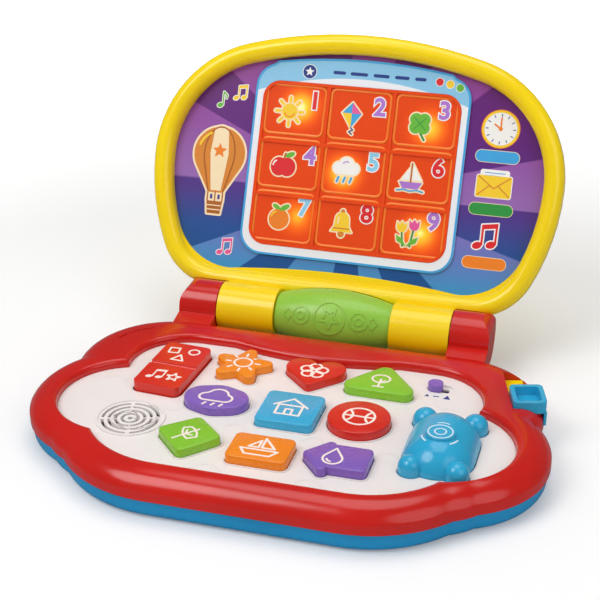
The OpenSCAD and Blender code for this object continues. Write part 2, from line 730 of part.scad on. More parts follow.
module on_lid() translate([lid_x, hinge_y, hinge_z]) rotate([90 - lean, 0, 0]) children();
module by_hinge() translate([-lid_x, 0, 0]) both_sides() children();

// A rounded outline: top, upper corners, sides and lower corners, each an arc that
// runs smoothly into the next. All radii are shrunk by inset.
function lid_arcs(w, top, low, top_r, corner_r, side_r, foot_r) =
    let (corner = [w - corner_r, top - top_r + sqrt(pow(top_r - corner_r, 2) - pow(w - corner_r, 2))],
        side = [w - side_r, corner.y],
        sink = asin((corner.y - low - foot_r) / (side_r - foot_r)))
    [[0, top - top_r], corner, side, [side.x + (side_r - foot_r) * cos(sink), low + foot_r], sink,
        atan2(corner.y - top + top_r, corner.x)];

outer = lid_arcs(lid_w, lid_top, lid_low, lid_top_r, lid_corner_r, lid_side_r, lid_foot_r);
tube_w = 2 * tube_r;
sill_low = 23.5;
sill_foot_r = 39;
inner = lid_arcs(lid_w - tube_w, lid_top - tube_w, sill_low, lid_top_r - tube_w,
    lid_corner_r - tube_w, lid_side_r - tube_w, sill_foot_r);

function lid_half(o, d, top_r, corner_r, side_r, foot_r) =
    concat(arc(o[3], foot_r + d, -90, -o[4], 12), arc(o[2], side_r + d, -o[4], 0, 6, 1),
        arc(o[1], corner_r + d, 0, o[5], 14, 1), arc(o[0], top_r + d, o[5], 90, 6, 1));

module lid_outline(d) {
    half = lid_half(outer, d, lid_top_r, lid_corner_r, lid_side_r, lid_foot_r);
    polygon(concat(half, [for (i = [1:len(half) - 1]) mirrored(half)[i]]));
}

sill_rise = 4.5;             // how far the opening's lower edge bows up
module lid_opening() {
    half = lid_half(inner, 0, lid_top_r - tube_w, lid_corner_r - tube_w, lid_side_r - tube_w,
        sill_foot_r);
    bow_r = (pow(inner[3].x, 2) + pow(sill_rise, 2)) / (2 * sill_rise);
    bow = arc([0, sill_low + sill_rise - bow_r], bow_r, 90 - asin(inner[3].x / bow_r),
        90 + asin(inner[3].x / bow_r), 12);
    polygon(concat(half, [for (i = [1:len(half) - 1]) mirrored(half)[i]],
        [for (i = [len(bow) - 2:-1:1]) bow[i]]));
}

rim_face = -3.5;             // front of the rounded rim
rim_mid = rim_face - tube_r;
art_face = -13;
split = -16;                 // where the lid's front and back mouldings meet
back_face = -27;
back_edge = 9;               // radius of the back's edge
hollow_r = tube_r - lid_t;

// Sections of the two mouldings: how far inside the outline, and how high
front_section = concat([[0, split]], arc([tube_r, rim_mid], tube_r, 180, 0, 12),
    [[tube_w, art_face], [tube_r + hollow_r, art_face]], arc([tube_r, rim_mid], hollow_r, 0, 180, 8),
    [[lid_t, split]]);
back_section = concat([[back_edge, back_face]],
    arc([back_edge, back_face + back_edge], back_edge, -90, -180, 7, 1), [[0, split], [lid_t, split]],
    arc([back_edge, back_face + back_edge], back_edge - lid_t, 180, 270, 7));

// Stations on the lid's outline: centre, radius and bearing of the arc they lie on
function stations(c, r, a0, a1, n, skip = 0) =
    [for (i = [skip:n]) [c.x, c.y, r, a0 + (a1 - a0) * i / n]];
half_stations = concat(stations(outer[3], lid_foot_r, -90, -outer[4], 12),
    stations(outer[2], lid_side_r, -outer[4], 0, 6, 1),
    stations(outer[1], lid_corner_r, 0, outer[5], 14, 1),
    stations(outer[0], lid_top_r, outer[5], 90, 6, 1));
lid_stations = concat(half_stations, [for (i = [len(half_stations) - 2:-1:0])
    let (t = half_stations[i]) [-t[0], t[1], t[2], 180 - t[3]]]);

// A section swept round the lid's outline
module round_lid(section) {
    n = len(section);
    m = len(lid_stations);
    polyhedron(
        points = [for (t = lid_stations, q = section)
            [t[0] + (t[2] - q.x) * cos(t[3]), t[1] + (t[2] - q.x) * sin(t[3]), q.y]],
        faces = [for (i = [0:m - 1], j = [0:n - 1]) let (k = (i + 1) % m, l = (j + 1) % n)
            [i * n + j, i * n + l, k * n + l, k * n + j]]);
}

// Screws of the lid, on the middle line of its rim
lid_spots = [[0, lid_top - tube_r],
    for (s = [-1, 1]) each [[s * (outer[1].x + (lid_corner_r - tube_r) * cos(45)),
        outer[1].y + (lid_corner_r - tube_r) * sin(45)],
        [s * (outer[3].x + (lid_foot_r - tube_r) * cos(-40)),
        outer[3].y + (lid_foot_r - tube_r) * sin(-40)]]];
lid_post_r = 3;

module along_hinge(x0, x1) translate([x0, 0, 0]) rotate([0, 90, 0]) linear_extrude(x1 - x0) children();

module lid_frame() color(yellow) on_lid() difference() {
    union() {
        round_lid(front_section);
        // sill below the opening
        translate([0, 0, art_face]) linear_extrude(2.4) difference() {
            lid_outline(-tube_w + 2);
            lid_opening();
        }
        by_hinge() along_hinge(roller_x, barrel_x) circle(r = hinge_r);
        // linings round the towers' and the roller's bays
        intersection() {
            translate([0, 0, split]) linear_extrude(rim_mid - split) lid_outline(-0.5);
            by_hinge() {
                along_hinge(barrel_x, tower_x + 3) circle(r = hinge_r + 0.8 + lid_t);
                along_hinge(-cut, roller_x + lid_t) circle(r = roller_mid_r + 0.6 + lid_t);
            }
        }
        for (p = lid_spots) translate([p.x, p.y, split])
            cylinder(r = lid_post_r, h = rim_mid + hollow_r + 0.4 - split);
    }
    by_hinge() {
        along_hinge(barrel_x, tower_x + 4) circle(r = hinge_r + 0.8);
        along_hinge(barrel_x - 12 - free, barrel_x + cut) circle(r = hinge_pin_r + run);
        along_hinge(roller_x - cut, roller_x + 8) circle(r = 2.5 + 0.02);
    }
    translate([-lid_x, 0, 0]) rotate([0, 90, 0]) roller_form(roller_x, 0.6);
    for (p = lid_spots) translate([p.x, p.y, split - cut]) cylinder(r = screw_r, h = 7);
}

module lid_back() color(yellow) on_lid() difference() {
    union() {
        round_lid(back_section);
        translate([0, 0, back_face]) linear_extrude(lid_t) lid_outline(-back_edge);
        for (p = lid_spots) translate([p.x, p.y, back_face + 0.6])
            cylinder(r = lid_post_r, h = split - back_face - 0.6);
        // studs under the lamp board
        for (x = [-60, 0, 60], y = [43, 142]) translate([x, y, back_face + 1])
            cylinder(r = 2, h = lid_t + 1);
    }
    for (p = lid_spots) translate([p.x, p.y, back_face - cut]) {
        cylinder(r = head_r - 0.3, h = cut + 2.6);
        cylinder(r = screw_r + fit, h = 40);
    }
}

win_w = 62.8;
win_low = 40.6;
win_high = 143.6;
win_r = 11;
win_mid = (win_low + win_high) / 2;

// The window's outline, grown by d
module window_outline(d) {
    for (sx = [-1, 1], sy = [-1, 1]) translate([sx * (win_w - win_r), win_mid + sy * ((win_high - win_low) / 2 - win_r)])
        circle(r = win_r + d);
    square_about(2 * (win_w + d), win_high - win_low - 2 * win_r);
    square_about(2 * (win_w - win_r), win_high - win_low + 2 * d);
}
module square_about(w, h) translate([-w / 2, win_mid - h / 2]) square([w, h]);

module art_panel() color("#5a3fa8") on_lid() translate([0, 0, art_face - 1.5]) linear_extrude(1.5)
    difference() {
        lid_outline(-tube_w + 1.8);
        window_outline(0);
    }

head_mid = 160;              // top of the screen frame, in the middle
frame_x = 67.8;              // half its width
module screen_frame() color("#d9eef7") on_lid() translate([0, 0, art_face]) linear_extrude(1.5)
    difference() {
        polygon(concat(arc([frame_x - 14, 48.5], 14, -90, 0, 8), arc([frame_x - 14, 140], 14, 0, 74, 6),
            arc([0, head_mid - 350], 350, 81, 90, 4),
            mirrored(concat(arc([frame_x - 14, 48.5], 14, -90, 0, 8),
                arc([frame_x - 14, 140], 14, 0, 74, 6), arc([0, head_mid - 350], 350, 81, 90, 4)))));
        window_outline(0);
    }

cell_rows = [72.5, 105.7];
cell_col = 20.8;
module window() color("#f58a1f") on_lid() {
    translate([0, 0, art_face - 1.5]) linear_extrude(2.2) window_outline(-fit);
    translate([0, 0, art_face - 3]) linear_extrude(1.5) window_outline(2);
    // raised borders of the cells
    translate([0, 0, art_face + 0.6]) linear_extrude(1.2) intersection() {
        window_outline(-fit);
        union() {
            difference() {
                window_outline(-fit);
                window_outline(-2);
            }
            for (y = cell_rows) translate([-win_w, y - 1]) square([2 * win_w, 2]);
            for (s = [-1, 1]) translate([s * cell_col - 1, win_low]) square([2, win_high - win_low]);
        }
    }
}

lamp_z = -21;                // face of the lamp board
module light_box() color(white) on_lid() translate([0, 0, lamp_z]) linear_extrude(art_face - 3 - lamp_z) {
    difference() {
        window_outline(2);
        window_outline(0.4);
    }
    for (y = cell_rows) translate([-win_w - 0.6, y - 0.8]) square([2 * win_w + 1.2, 1.6]);
    for (s = [-1, 1]) translate([s * cell_col - 0.8, win_low - 0.6]) square([1.6, win_high - win_low + 1.2]);
}

module led_board() color("#1f7a3d") on_lid() translate([0, 0, back_face + lid_t + 2])
    linear_extrude(lamp_z - back_face - lid_t - 2) window_outline(2);

lamp_rows = [56.5, 89, 124.6];
module leds() color("#fff4c2") on_lid() for (x = [-41.5, 0, 41.5], y = lamp_rows)
    translate([x, y, lamp_z]) {
        cylinder(r = 1.5, h = 1.6);
        translate([0, 0, 1.6]) sphere(r = 1.5);
    }

module lid_screws() color(steel) on_lid() for (p = lid_spots) translate([p.x, p.y, back_face + 1]) {
    cylinder(r = head_r - 0.6, h = 1.6);
    cylinder(r = screw_r, h = 15);
}

module roller_axle() color(steel) translate([-roller_x - 8, hinge_y, hinge_z]) rotate([0, 90, 0])
    cylinder(r = 2.5, h = 2 * (roller_x + 8));

roller_half = roller_x - 0.4;
roller_bow = (pow(roller_half, 2) + pow(roller_mid_r - roller_end_r, 2)) / (2 * (roller_mid_r - roller_end_r));

// The roller's barrel shape along Z, grown by gap
module roller_form(half, gap) rotate_extrude() intersection() {
    translate([roller_mid_r - roller_bow, 0]) circle(r = roller_bow + gap, $fn = 256);
    translate([0, -half]) square([roller_mid_r + gap, 2 * half]);
}

module roller() color("#3fae49") translate([0, hinge_y, hinge_z]) rotate([0, 90, 0]) difference() {
    roller_form(roller_half, 0);
    cylinder(r = 2.5 + run, h = 4 * roller_half, center = true);
}

bottom_shell();
top_housing();
keyboard_panel();
battery_door();
door_screw();
batteries();
battery_contacts();
main_board();
board_screws();
switch_pads();
speaker();
case_screws();
hinge_pins();
label_deck();
switch_body();
rocker_pin();
key_star();
key_heart();
key_triangle();
key_oval();
key_square();
key_circle();
key_diamond();
key_rectangle();
key_arrow();
mode_rocker();
mouse_button();
slider();
volume_knob();
lid_frame();
lid_back();
art_panel();
screen_frame();
window();
light_box();
led_board();
leds();
lid_screws();
roller_axle();
roller();
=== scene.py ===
"""Looks of a toy laptop: moulded plastics, printed pictures, a lit window and a plain studio."""

import logging
import math
from collections.abc import Callable
from dataclasses import dataclass, field
from enum import Enum

import bmesh
import bpy
from mathutils import Matrix, Vector
from mathutils.bvhtree import BVHTree
from mathutils.geometry import delaunay_2d_cdt


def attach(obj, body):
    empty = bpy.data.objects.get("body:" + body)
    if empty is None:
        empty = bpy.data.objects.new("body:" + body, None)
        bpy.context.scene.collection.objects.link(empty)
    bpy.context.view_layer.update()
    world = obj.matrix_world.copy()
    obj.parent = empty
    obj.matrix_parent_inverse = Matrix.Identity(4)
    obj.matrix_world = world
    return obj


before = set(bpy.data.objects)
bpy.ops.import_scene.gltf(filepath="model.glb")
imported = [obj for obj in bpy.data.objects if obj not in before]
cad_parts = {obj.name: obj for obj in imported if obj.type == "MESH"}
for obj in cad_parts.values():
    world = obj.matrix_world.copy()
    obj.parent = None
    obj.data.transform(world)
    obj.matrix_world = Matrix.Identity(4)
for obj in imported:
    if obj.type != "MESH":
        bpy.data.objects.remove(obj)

log = logging.getLogger("toy_laptop")
MM = 0.001
Points = list[tuple[float, float]]
Corner = tuple[float, float, float]
Tree, Node, Socket = bpy.types.NodeTree, bpy.types.Node, bpy.types.NodeSocket
Piece, Material = bpy.types.Object, bpy.types.Material


# ---- Colour and node helpers ----


def linear(hex_colour: str) -> tuple[float, float, float, float]:
    """Turn an sRGB hex value into linear colour.

    Args:
        hex_colour: colour such as "#d8202c".

    Returns:
        Linear red, green, blue, and full opacity.
    """
    parts = [int(hex_colour[i : i + 2], 16) / 255 for i in (1, 3, 5)]
    r, g, b = [c / 12.92 if c <= 0.04045 else ((c + 0.055) / 1.055) ** 2.4 for c in parts]
    return (r, g, b, 1.0)


def feed(node: Node, values: dict | None = None, links: dict | None = None) -> Node:
    """Set a node's values and the links into it.

    Args:
        node: the node.
        values: attribute names, or input names or numbers, with their values.
        links: input names or numbers with the output sockets that feed them.

    Returns:
        The same node.
    """
    for key, value in (values or {}).items():
        if isinstance(key, str) and hasattr(node, key):
            setattr(node, key, value)
        else:
            node.inputs[key].default_value = value
    for key, socket in (links or {}).items():
        node.id_data.links.new(socket, node.inputs[key])
    return node


def add_node(tree: Tree, kind: str, values: dict | None = None, links: dict | None = None) -> Node:
    """Add a node of a kind, feed it and return it."""
    return feed(tree.nodes.new(kind), values, links)


def math_node(tree: Tree, operation: str, a: object, b: object = None, clamp: bool = False) -> Socket:
    """Add one sum of a pattern.

    Args:
        tree: tree that gets the node.
        operation: the Math node's operation.
        a: first value or socket.
        b: second value or socket.
        clamp: keep the result between 0 and 1.

    Returns:
        The result's socket.
    """
    node = add_node(tree, "ShaderNodeMath", {"operation": operation, "use_clamp": clamp})
    for i, value in enumerate((a, b)):
        if isinstance(value, Socket):
            feed(node, links={i: value})
        elif value is not None:
            feed(node, {i: value})
    return node.outputs[0]


def times(a: Socket, b: object, clamp: bool = False) -> Socket:
    """Multiply a socket by a value or by another socket."""
    return math_node(a.id_data, "MULTIPLY", a, b, clamp)


def ramp_node(fac: Socket, stops: list[tuple[float, str]]) -> Socket:
    """Add a colour ramp.

    Args:
        fac: value that runs along the ramp.
        stops: places and hex colours.

    Returns:
        The ramp's colour socket.
    """
    node = add_node(fac.id_data, "ShaderNodeValToRGB", links={0: fac})
    elements = node.color_ramp.elements
    while len(elements) < len(stops):
        elements.new(0.5)
    for element, (place, colour) in zip(elements, stops):
        element.position, element.color = place, linear(colour)
    return node.outputs[0]


def new_material(name: str) -> tuple[Material, Tree, Node]:
    """Start a material.

    Args:
        name: the material's name.

    Returns:
        The material, its node tree and its Principled shader.
    """
    material = bpy.data.materials.new(name)
    material.use_nodes = True
    tree = material.node_tree
    return material, tree, next(n for n in tree.nodes if n.type == "BSDF_PRINCIPLED")


def paint(piece: Piece, material: Material) -> None:
    """Make a material the only one of a piece."""
    piece.data.materials.clear()
    piece.data.materials.append(material)


def link(data: bpy.types.ID | None, name: str) -> Piece:
    """Put a new object of some data into the scene.

    Args:
        data: its mesh, curve, light or camera.
        name: its name.

    Returns:
        The object.
    """
    piece = bpy.data.objects.new(name, data)
    bpy.context.scene.collection.objects.link(piece)
    return piece


# ---- Where things are ----


@dataclass(frozen=True)
class Place:
    """A plane that pictures and trim are laid on.

    Args:
        origin: a point in the row frame, in millimetres.
        tilt: turn about X, in degrees.
    """

    origin: Corner = (0.0, 0.0, 0.0)
    tilt: float = 0.0

    def matrix(self) -> Matrix:
        """Return the plane's matrix, from its millimetres to the row frame's metres."""
        tilt = Matrix.Rotation(math.radians(self.tilt), 4, "X")
        return Matrix.Translation(Vector(self.origin) * MM) @ tilt @ Matrix.Scale(MM, 4)


# the lid's lean, the hinge line (backwards and up), and the middle of the lid across
LEAN = 24.75
HINGE = (87.5, 26.0)
LID = Place((-2.4, *HINGE), 90 - LEAN)
TABLE = Place()
# faces of the printed panel, the window and the screen frame, out from the hinge line
ART_FACE, WINDOW_FACE, FRAME_FACE = -13.0, -12.3, -11.5
# mean radius of the roller
ROLLER_R = 17.0


def lid_point(tree: Tree) -> Socket:
    """Give a material's point in the lid's own directions, in metres.

    Args:
        tree: the material's tree.

    Returns:
        The socket of the turned point.
    """
    inverse = LID.matrix().inverted()
    turn = inverse.to_3x3().normalized().to_euler()
    values = {"vector_type": "POINT", "Location": tuple(inverse.translation * MM), "Rotation": tuple(turn)}
    point = add_node(tree, "ShaderNodeTexCoord").outputs["Object"]
    return add_node(tree, "ShaderNodeMapping", values, {"Vector": point}).outputs[0]


# ---- Finishes ----


def noise(tree: Tree, scale: float, detail: float) -> Socket:
    """Add noise on object coordinates.

    Args:
        tree: tree that gets the node.
        scale: features in a metre.
        detail: number of finer layers.

    Returns:
        The noise's socket.
    """
    point = add_node(tree, "ShaderNodeTexCoord").outputs["Object"]
    settings = {"Scale": scale, "Detail": detail}
    return add_node(tree, "ShaderNodeTexNoise", settings, {"Vector": point}).outputs["Fac"]


@dataclass(frozen=True)
class Finish:
    """Looks of a surface.

    Args:
        name: the material's name.
        colour: sRGB hex value.
    """

    name: str
    colour: str

    def make(self) -> Material:
        """Build the material once and return it."""
        if self.name not in bpy.data.materials:
            _, tree, shader = new_material(self.name)
            self.fill(tree, shader)
        return bpy.data.materials[self.name]

    def fill(self, tree: Tree, shader: Node) -> None:
        """Set the material's nodes up."""
        raise NotImplementedError

    def polish(self, marks: Socket, low: float, high: float) -> Socket:
        """Give a roughness that wanders between two values with some noise."""
        return add_node(
            marks.id_data, "ShaderNodeMapRange", {"To Min": low, "To Max": high}, {"Value": marks}
        ).outputs[0]


@dataclass(frozen=True)
class Moulded(Finish):
    """Injection-moulded ABS or similar: even colour, a glossy skin and faint flow marks.

    Args:
        shade: the flow marks' hex value, close to the colour.
        roughness: of the skin.
        edge_mm: radius that edges are seen to have.
        ripple: height of the skin's slow waviness, in millimetres.
        glow: light that the plastic passes on.
        glow_mm: how deep light goes into it.
    """

    shade: str
    roughness: float = 0.22
    edge_mm: float = 0.5
    ripple: float = 0.012
    glow: float = 0.06
    glow_mm: float = 1.5

    def fill(self, tree: Tree, shader: Node) -> None:
        """Set the material's nodes up."""
        # flow marks, about 60 mm across, in two close tones
        tone = ramp_node(noise(tree, 16.0, 3.0), [(0.35, self.colour), (0.75, self.shade)])
        # the polish of the mould varies a little, over 8 mm
        rough = self.polish(noise(tree, 125.0, 4.0), self.roughness * 0.8, self.roughness * 1.25)
        edges = add_node(tree, "ShaderNodeBevel", {"samples": 4, "Radius": self.edge_mm * MM}).outputs[0]
        # slow waves of the skin, over 25 mm
        wave = {"Height": noise(tree, 40.0, 1.0), "Normal": edges}
        skin = add_node(tree, "ShaderNodeBump", {"Strength": 1.0, "Distance": self.ripple * MM}, wave)
        depth = {"Subsurface Radius": (self.glow_mm * MM,) * 3, "Subsurface Scale": 1.0}
        feed(
            shader,
            {"IOR": 1.53, "Subsurface Weight": self.glow, **depth},
            {"Base Color": tone, "Roughness": rough, "Normal": skin.outputs[0]},
        )


@dataclass(frozen=True)
class Metal(Finish):
    """Plated or stamped steel with fine drawing marks.

    Args:
        roughness: of the metal.
    """

    roughness: float = 0.3

    def fill(self, tree: Tree, shader: Node) -> None:
        """Set the material's nodes up."""
        # drawing marks about 0.3 mm apart
        rough = self.polish(noise(tree, 3000.0, 2.0), self.roughness * 0.7, self.roughness * 1.4)
        feed(shader, {"Base Color": linear(self.colour), "Metallic": 1.0}, {"Roughness": rough})


@dataclass(frozen=True)
class Ink(Finish):
    """Screen-printed or labelled colour under a thin varnish.

    Args:
        roughness: of the varnish.
    """

    roughness: float = 0.35

    def fill(self, tree: Tree, shader: Node) -> None:
        """Set the material's nodes up."""
        # ink lies a little thicker here and there, over 3 mm
        film = {"Height": noise(tree, 330.0, 3.0)}
        bump = add_node(tree, "ShaderNodeBump", {"Strength": 0.4, "Distance": 0.01 * MM}, film)
        values = {"Base Color": linear(self.colour), "Roughness": self.roughness}
        feed(shader, values, {"Normal": bump.outputs[0]})


RED_ABS = Moulded("ABS moulded red", "#d21c14", "#c21810", 0.18, glow=0.0)
BLUE_ABS = Moulded("ABS moulded blue", "#0a94cc", "#088ac0", 0.22, glow=0.0)
WHITE_ABS = Moulded("ABS moulded white", "#f6f0ed", "#efe9e6", 0.3, glow=0.04)
YELLOW_ABS = Moulded("ABS moulded yellow", "#ffe00a", "#fdd807", 0.2, glow=0.03)
GREEN_ROLLER = Moulded("ABS moulded leaf green", "#9cd24a", "#93ca42", 0.28)
ORANGE_KEY = Moulded("ABS moulded orange key", "#f98f1a", "#f38516", 0.26, glow=0.02)
RED_KEY = Moulded("ABS moulded red key", "#e02a18", "#d42414", 0.24, glow=0.0)
GREEN_KEY = Moulded("ABS moulded green key", "#8ccb34", "#83c22e", 0.26, glow=0.02)
PURPLE_KEY = Moulded("ABS moulded violet key", "#8a66c2", "#7f5cb8", 0.26, glow=0.02)
SKY_KEY = Moulded("ABS moulded sky key", "#3cb4e0", "#34a9d6", 0.26, glow=0.02)
SKY_SHELL = Moulded("ABS moulded sky shell", "#34b4de", "#2aa8d4", 0.18, glow=0.02)
STEEL = Metal("Steel zinc plated", "#b9bcc0")
RUBBER = Moulded("Silicone rubber grey", "#5c5f66", "#54575e", 0.6)
LAMP = Moulded("Epoxy lamp lens", "#fff4c2", "#fff0b4", 0.15)
BOARD = Moulded("Circuit board green", "#1f7a3d", "#1a6d36", 0.4)
CELL = Metal("Foil cell wrap", "#c9a227", 0.35)
SPEAKER = Moulded("Paper cone dark", "#2c2d31", "#252629", 0.7)
BOX_WHITE = Moulded("Polystyrene white", "#f2f1ec", "#eae9e4", 0.5)
CELL_EDGE = Moulded("Acrylic moulded cell edge", "#ff8a30", "#ff7d22", 0.2)

WHITE_INK = Ink("Ink printed white", "#fbfaf6")
CREAM_INK = Ink("Ink printed cream", "#ffe9bf")
YELLOW_INK = Ink("Ink printed yellow", "#ffd42e")
ORANGE_INK = Ink("Ink printed orange", "#f7861f")
RED_INK = Ink("Ink printed red", "#e5232b")
PINK_INK = Ink("Ink printed pink", "#ee5aa0")
LILAC_INK = Ink("Ink printed lilac", "#b47ad6")
SKY_INK = Ink("Ink printed sky blue", "#3fa9e6")
PALE_INK = Ink("Ink printed pale blue", "#8fd3f2")
NAVY_INK = Ink("Ink printed navy", "#1d3b8c")
GREEN_INK = Ink("Ink printed green", "#6cbf3a")
LEAF_INK = Ink("Ink printed leaf green", "#2f9a43")
BROWN_INK = Ink("Ink printed brown", "#b5651d")
AMBER_INK = Ink("Ink printed amber", "#e08a2c")
KEY_INK = Ink("Ink pad-printed pale", "#fff1e8", 0.3)
MOUSE_INK = Ink("Ink pad-printed sky", "#cdeaf8", 0.3)


# ---- Meshes ----


def polar(r: float, bearing: float) -> tuple[float, float]:
    """Return the point at a distance and a bearing, in degrees."""
    return (r * math.cos(math.radians(bearing)), r * math.sin(math.radians(bearing)))


def arc(cx: float, cy: float, r: float, a0: float, a1: float, n: int = 16) -> Points:
    """Return the n + 1 points of an arc about a centre, from one bearing to another, in degrees."""
    steps = [polar(r, a0 + (a1 - a0) * i / n) for i in range(n + 1)]
    return [(cx + x, cy + y) for x, y in steps]


def disc(cx: float, cy: float, r: float, squash: float = 1.0, n: int = 32) -> Points:
    """Return n points of a round or oval outline, of half width r, with its height squashed."""
    return [(x, cy + (y - cy) * squash) for x, y in arc(cx, cy, r, 0, 360, n)[:-1]]


def rounded_box(cx: float, cy: float, w: float, h: float, r: float) -> Points:
    """Return a box outline with round corners.

    Args:
        cx: centre across.
        cy: centre up.
        w: width.
        h: height.
        r: corner radius.

    Returns:
        The outline's points.
    """
    x, y = w / 2 - r, h / 2 - r
    corners = [(x, y, 0), (-x, y, 90), (-x, -y, 180), (x, -y, 270)]
    return [p for u, v, a in corners for p in arc(cx + u, cy + v, r, a, a + 90, 6)]


def star(cx: float, cy: float, r: float) -> Points:
    """Return a star of five tips at a radius, the first one up."""
    steps = [polar(r * 0.45 if i % 2 else r, 90 + 36 * i) for i in range(10)]
    return [(cx + x, cy + y) for x, y in steps]


def stroke(points: Points, width: float, closed: bool = False, step: float = math.inf) -> list[Points]:
    """Return the outlines of a line of round-ended strokes.

    Args:
        points: the line's points.
        width: the line's width.
        closed: join the last point to the first.
        step: the longest stroke.

    Returns:
        One outline for each stroke.
    """
    ends = points[1:] + points[:1] if closed else points[1:]
    fine = []
    for (x0, y0), (x1, y1) in zip(points, ends):
        n = max(1, math.ceil(math.hypot(x1 - x0, y1 - y0) / step))
        fine += [(x0 + (x1 - x0) * i / n, y0 + (y1 - y0) * i / n) for i in range(n)]
    fine.append(ends[-1])
    out = []
    for (x0, y0), (x1, y1) in zip(fine, fine[1:]):
        a = math.degrees(math.atan2(y1 - y0, x1 - x0))
        out.append(arc(x0, y0, width / 2, a + 90, a + 270, 6) + arc(x1, y1, width / 2, a - 90, a + 90, 6))
    return out


def lines(paths: list[Points], width: float, closed: bool = False) -> list[Points]:
    """Return the outlines of several drawn lines, in stretches of at most 2 mm."""
    return [outline for path in paths for outline in stroke(path, width, closed, 2.0)]


def solid(outlines: list[Points], at: Callable[[float, float, bool], Vector | None]) -> bmesh.types.BMesh:
    """Join flat shapes that overlap, and give the whole some thickness.

    Args:
        outlines: closed outlines, in millimetres.
        at: gives the place of a point of the drawing, on the lower or on the upper face.

    Returns:
        The closed shape.
    """
    points, faces = [], []
    for outline in outlines:
        area = sum(x0 * y1 - x1 * y0 for (x0, y0), (x1, y1) in zip(outline, outline[1:] + outline[:1]))
        faces.append(list(range(len(points), len(points) + len(outline))))
        points += [Vector(p) for p in (outline if area > 0 else outline[::-1])]
    flat, _, triangles, _, _, owners = delaunay_2d_cdt(points, [], faces, 1, 1e-4)
    triangles = [t for t, owner in zip(triangles, owners) if owner]
    ends = [(at(x, y, False), at(x, y, True)) for x, y in flat]
    triangles = [t for t in triangles if all(ends[i][0] is not None for i in t)]
    sides = dict.fromkeys(pair for a, b, c in triangles for pair in ((a, b), (b, c), (c, a)))
    mesh = bmesh.new()
    used = sorted({i for t in triangles for i in t})
    low = {i: mesh.verts.new(ends[i][0]) for i in used}
    high = {i: mesh.verts.new(ends[i][1]) for i in used}
    for a, b, c in triangles:
        mesh.faces.new((high[a], high[b], high[c]))
        mesh.faces.new((low[c], low[b], low[a]))
    for a, b in sides:
        if (b, a) not in sides:
            mesh.faces.new((low[a], low[b], high[b], high[a]))
    return mesh


def finished(name: str, mesh: bmesh.types.BMesh, place: Place) -> Piece:
    """Turn a mesh into a piece whose object sits at the origin.

    Args:
        name: the piece's name.
        mesh: the shape, in the plane's millimetres.
        place: the plane.

    Returns:
        The piece.
    """
    mesh.transform(place.matrix())
    data = bpy.data.meshes.new(name)
    mesh.to_mesh(data)
    mesh.free()
    data.polygons.foreach_set("use_smooth", [False] * len(data.polygons))
    return link(data, name)


def dress(piece: Piece, finish: Finish, body: str, slot: str) -> Piece:
    """Give a piece its finish and its body.

    Args:
        piece: the piece.
        finish: its finish.
        body: the CAD body that it moves with.
        slot: not used.

    Returns:
        The same piece.
    """
    paint(piece, finish.make())
    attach(piece, body)
    log.info("%s: %d faces on %s", piece.name, len(piece.data.polygons), body)
    return piece


def placed(outlines: list[Points], x: float, y: float, size: float = 1.0, turn: float = 0.0) -> list[Points]:
    """Return outlines sized and turned, in degrees, about their middle, and moved."""
    c, s = polar(size, turn)
    return [[(x + u * c - v * s, y + u * s + v * c) for u, v in outline] for outline in outlines]


class Lay(Enum):
    """How a relief lies on the piece under it."""

    DOWN = "from above"
    ROUND = "round the roller"


@dataclass
class Relief:
    """Raised or printed lines that follow the face of a CAD node.

    Args:
        name: the piece's name.
        node: the CAD node under it.
        finish: its finish.
        outlines: its shapes, in millimetres.
        high: height above the face, in millimetres.
        body: the body that it moves with.
        slot: the record's material slot.
        lay: how it lies.
        sunk: how far it reaches under the face, in millimetres.
    """

    name: str
    node: str
    finish: Finish
    outlines: list[Points]
    high: float
    body: str = "base"
    slot: str = "white_panel"
    lay: Lay = Lay.DOWN
    sunk: float = 0.4

    def ray(self, x: float, y: float) -> tuple[Vector, Vector]:
        """Return a ray's start and direction for a point of the drawing, in millimetres."""
        if self.lay is Lay.DOWN:
            return Vector((x, y, 120.0)), Vector((0.0, 0.0, -1.0))
        a = y / ROLLER_R
        out = Vector((0.0, math.cos(a), math.sin(a)))
        return Vector((x, *HINGE)) + out * 60.0, -out

    def build(self) -> Piece:
        """Build the relief on its node's face."""
        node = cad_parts[self.node]
        points = [node.matrix_world @ v.co / MM for v in node.data.vertices]
        tree = BVHTree.FromPolygons(points, [tuple(p.vertices) for p in node.data.polygons])

        def at(x: float, y: float, top: bool) -> Vector | None:
            """Give a point's place over or under the face, or none beside it."""
            start, way = self.ray(x, y)
            hit = tree.ray_cast(start, way)[0]
            return None if hit is None else hit - way * (self.high if top else -self.sunk)

        mesh = solid(self.outlines, at)
        return dress(finished(self.name, mesh, TABLE), self.finish, self.body, self.slot)


# ---- CAD nodes ----


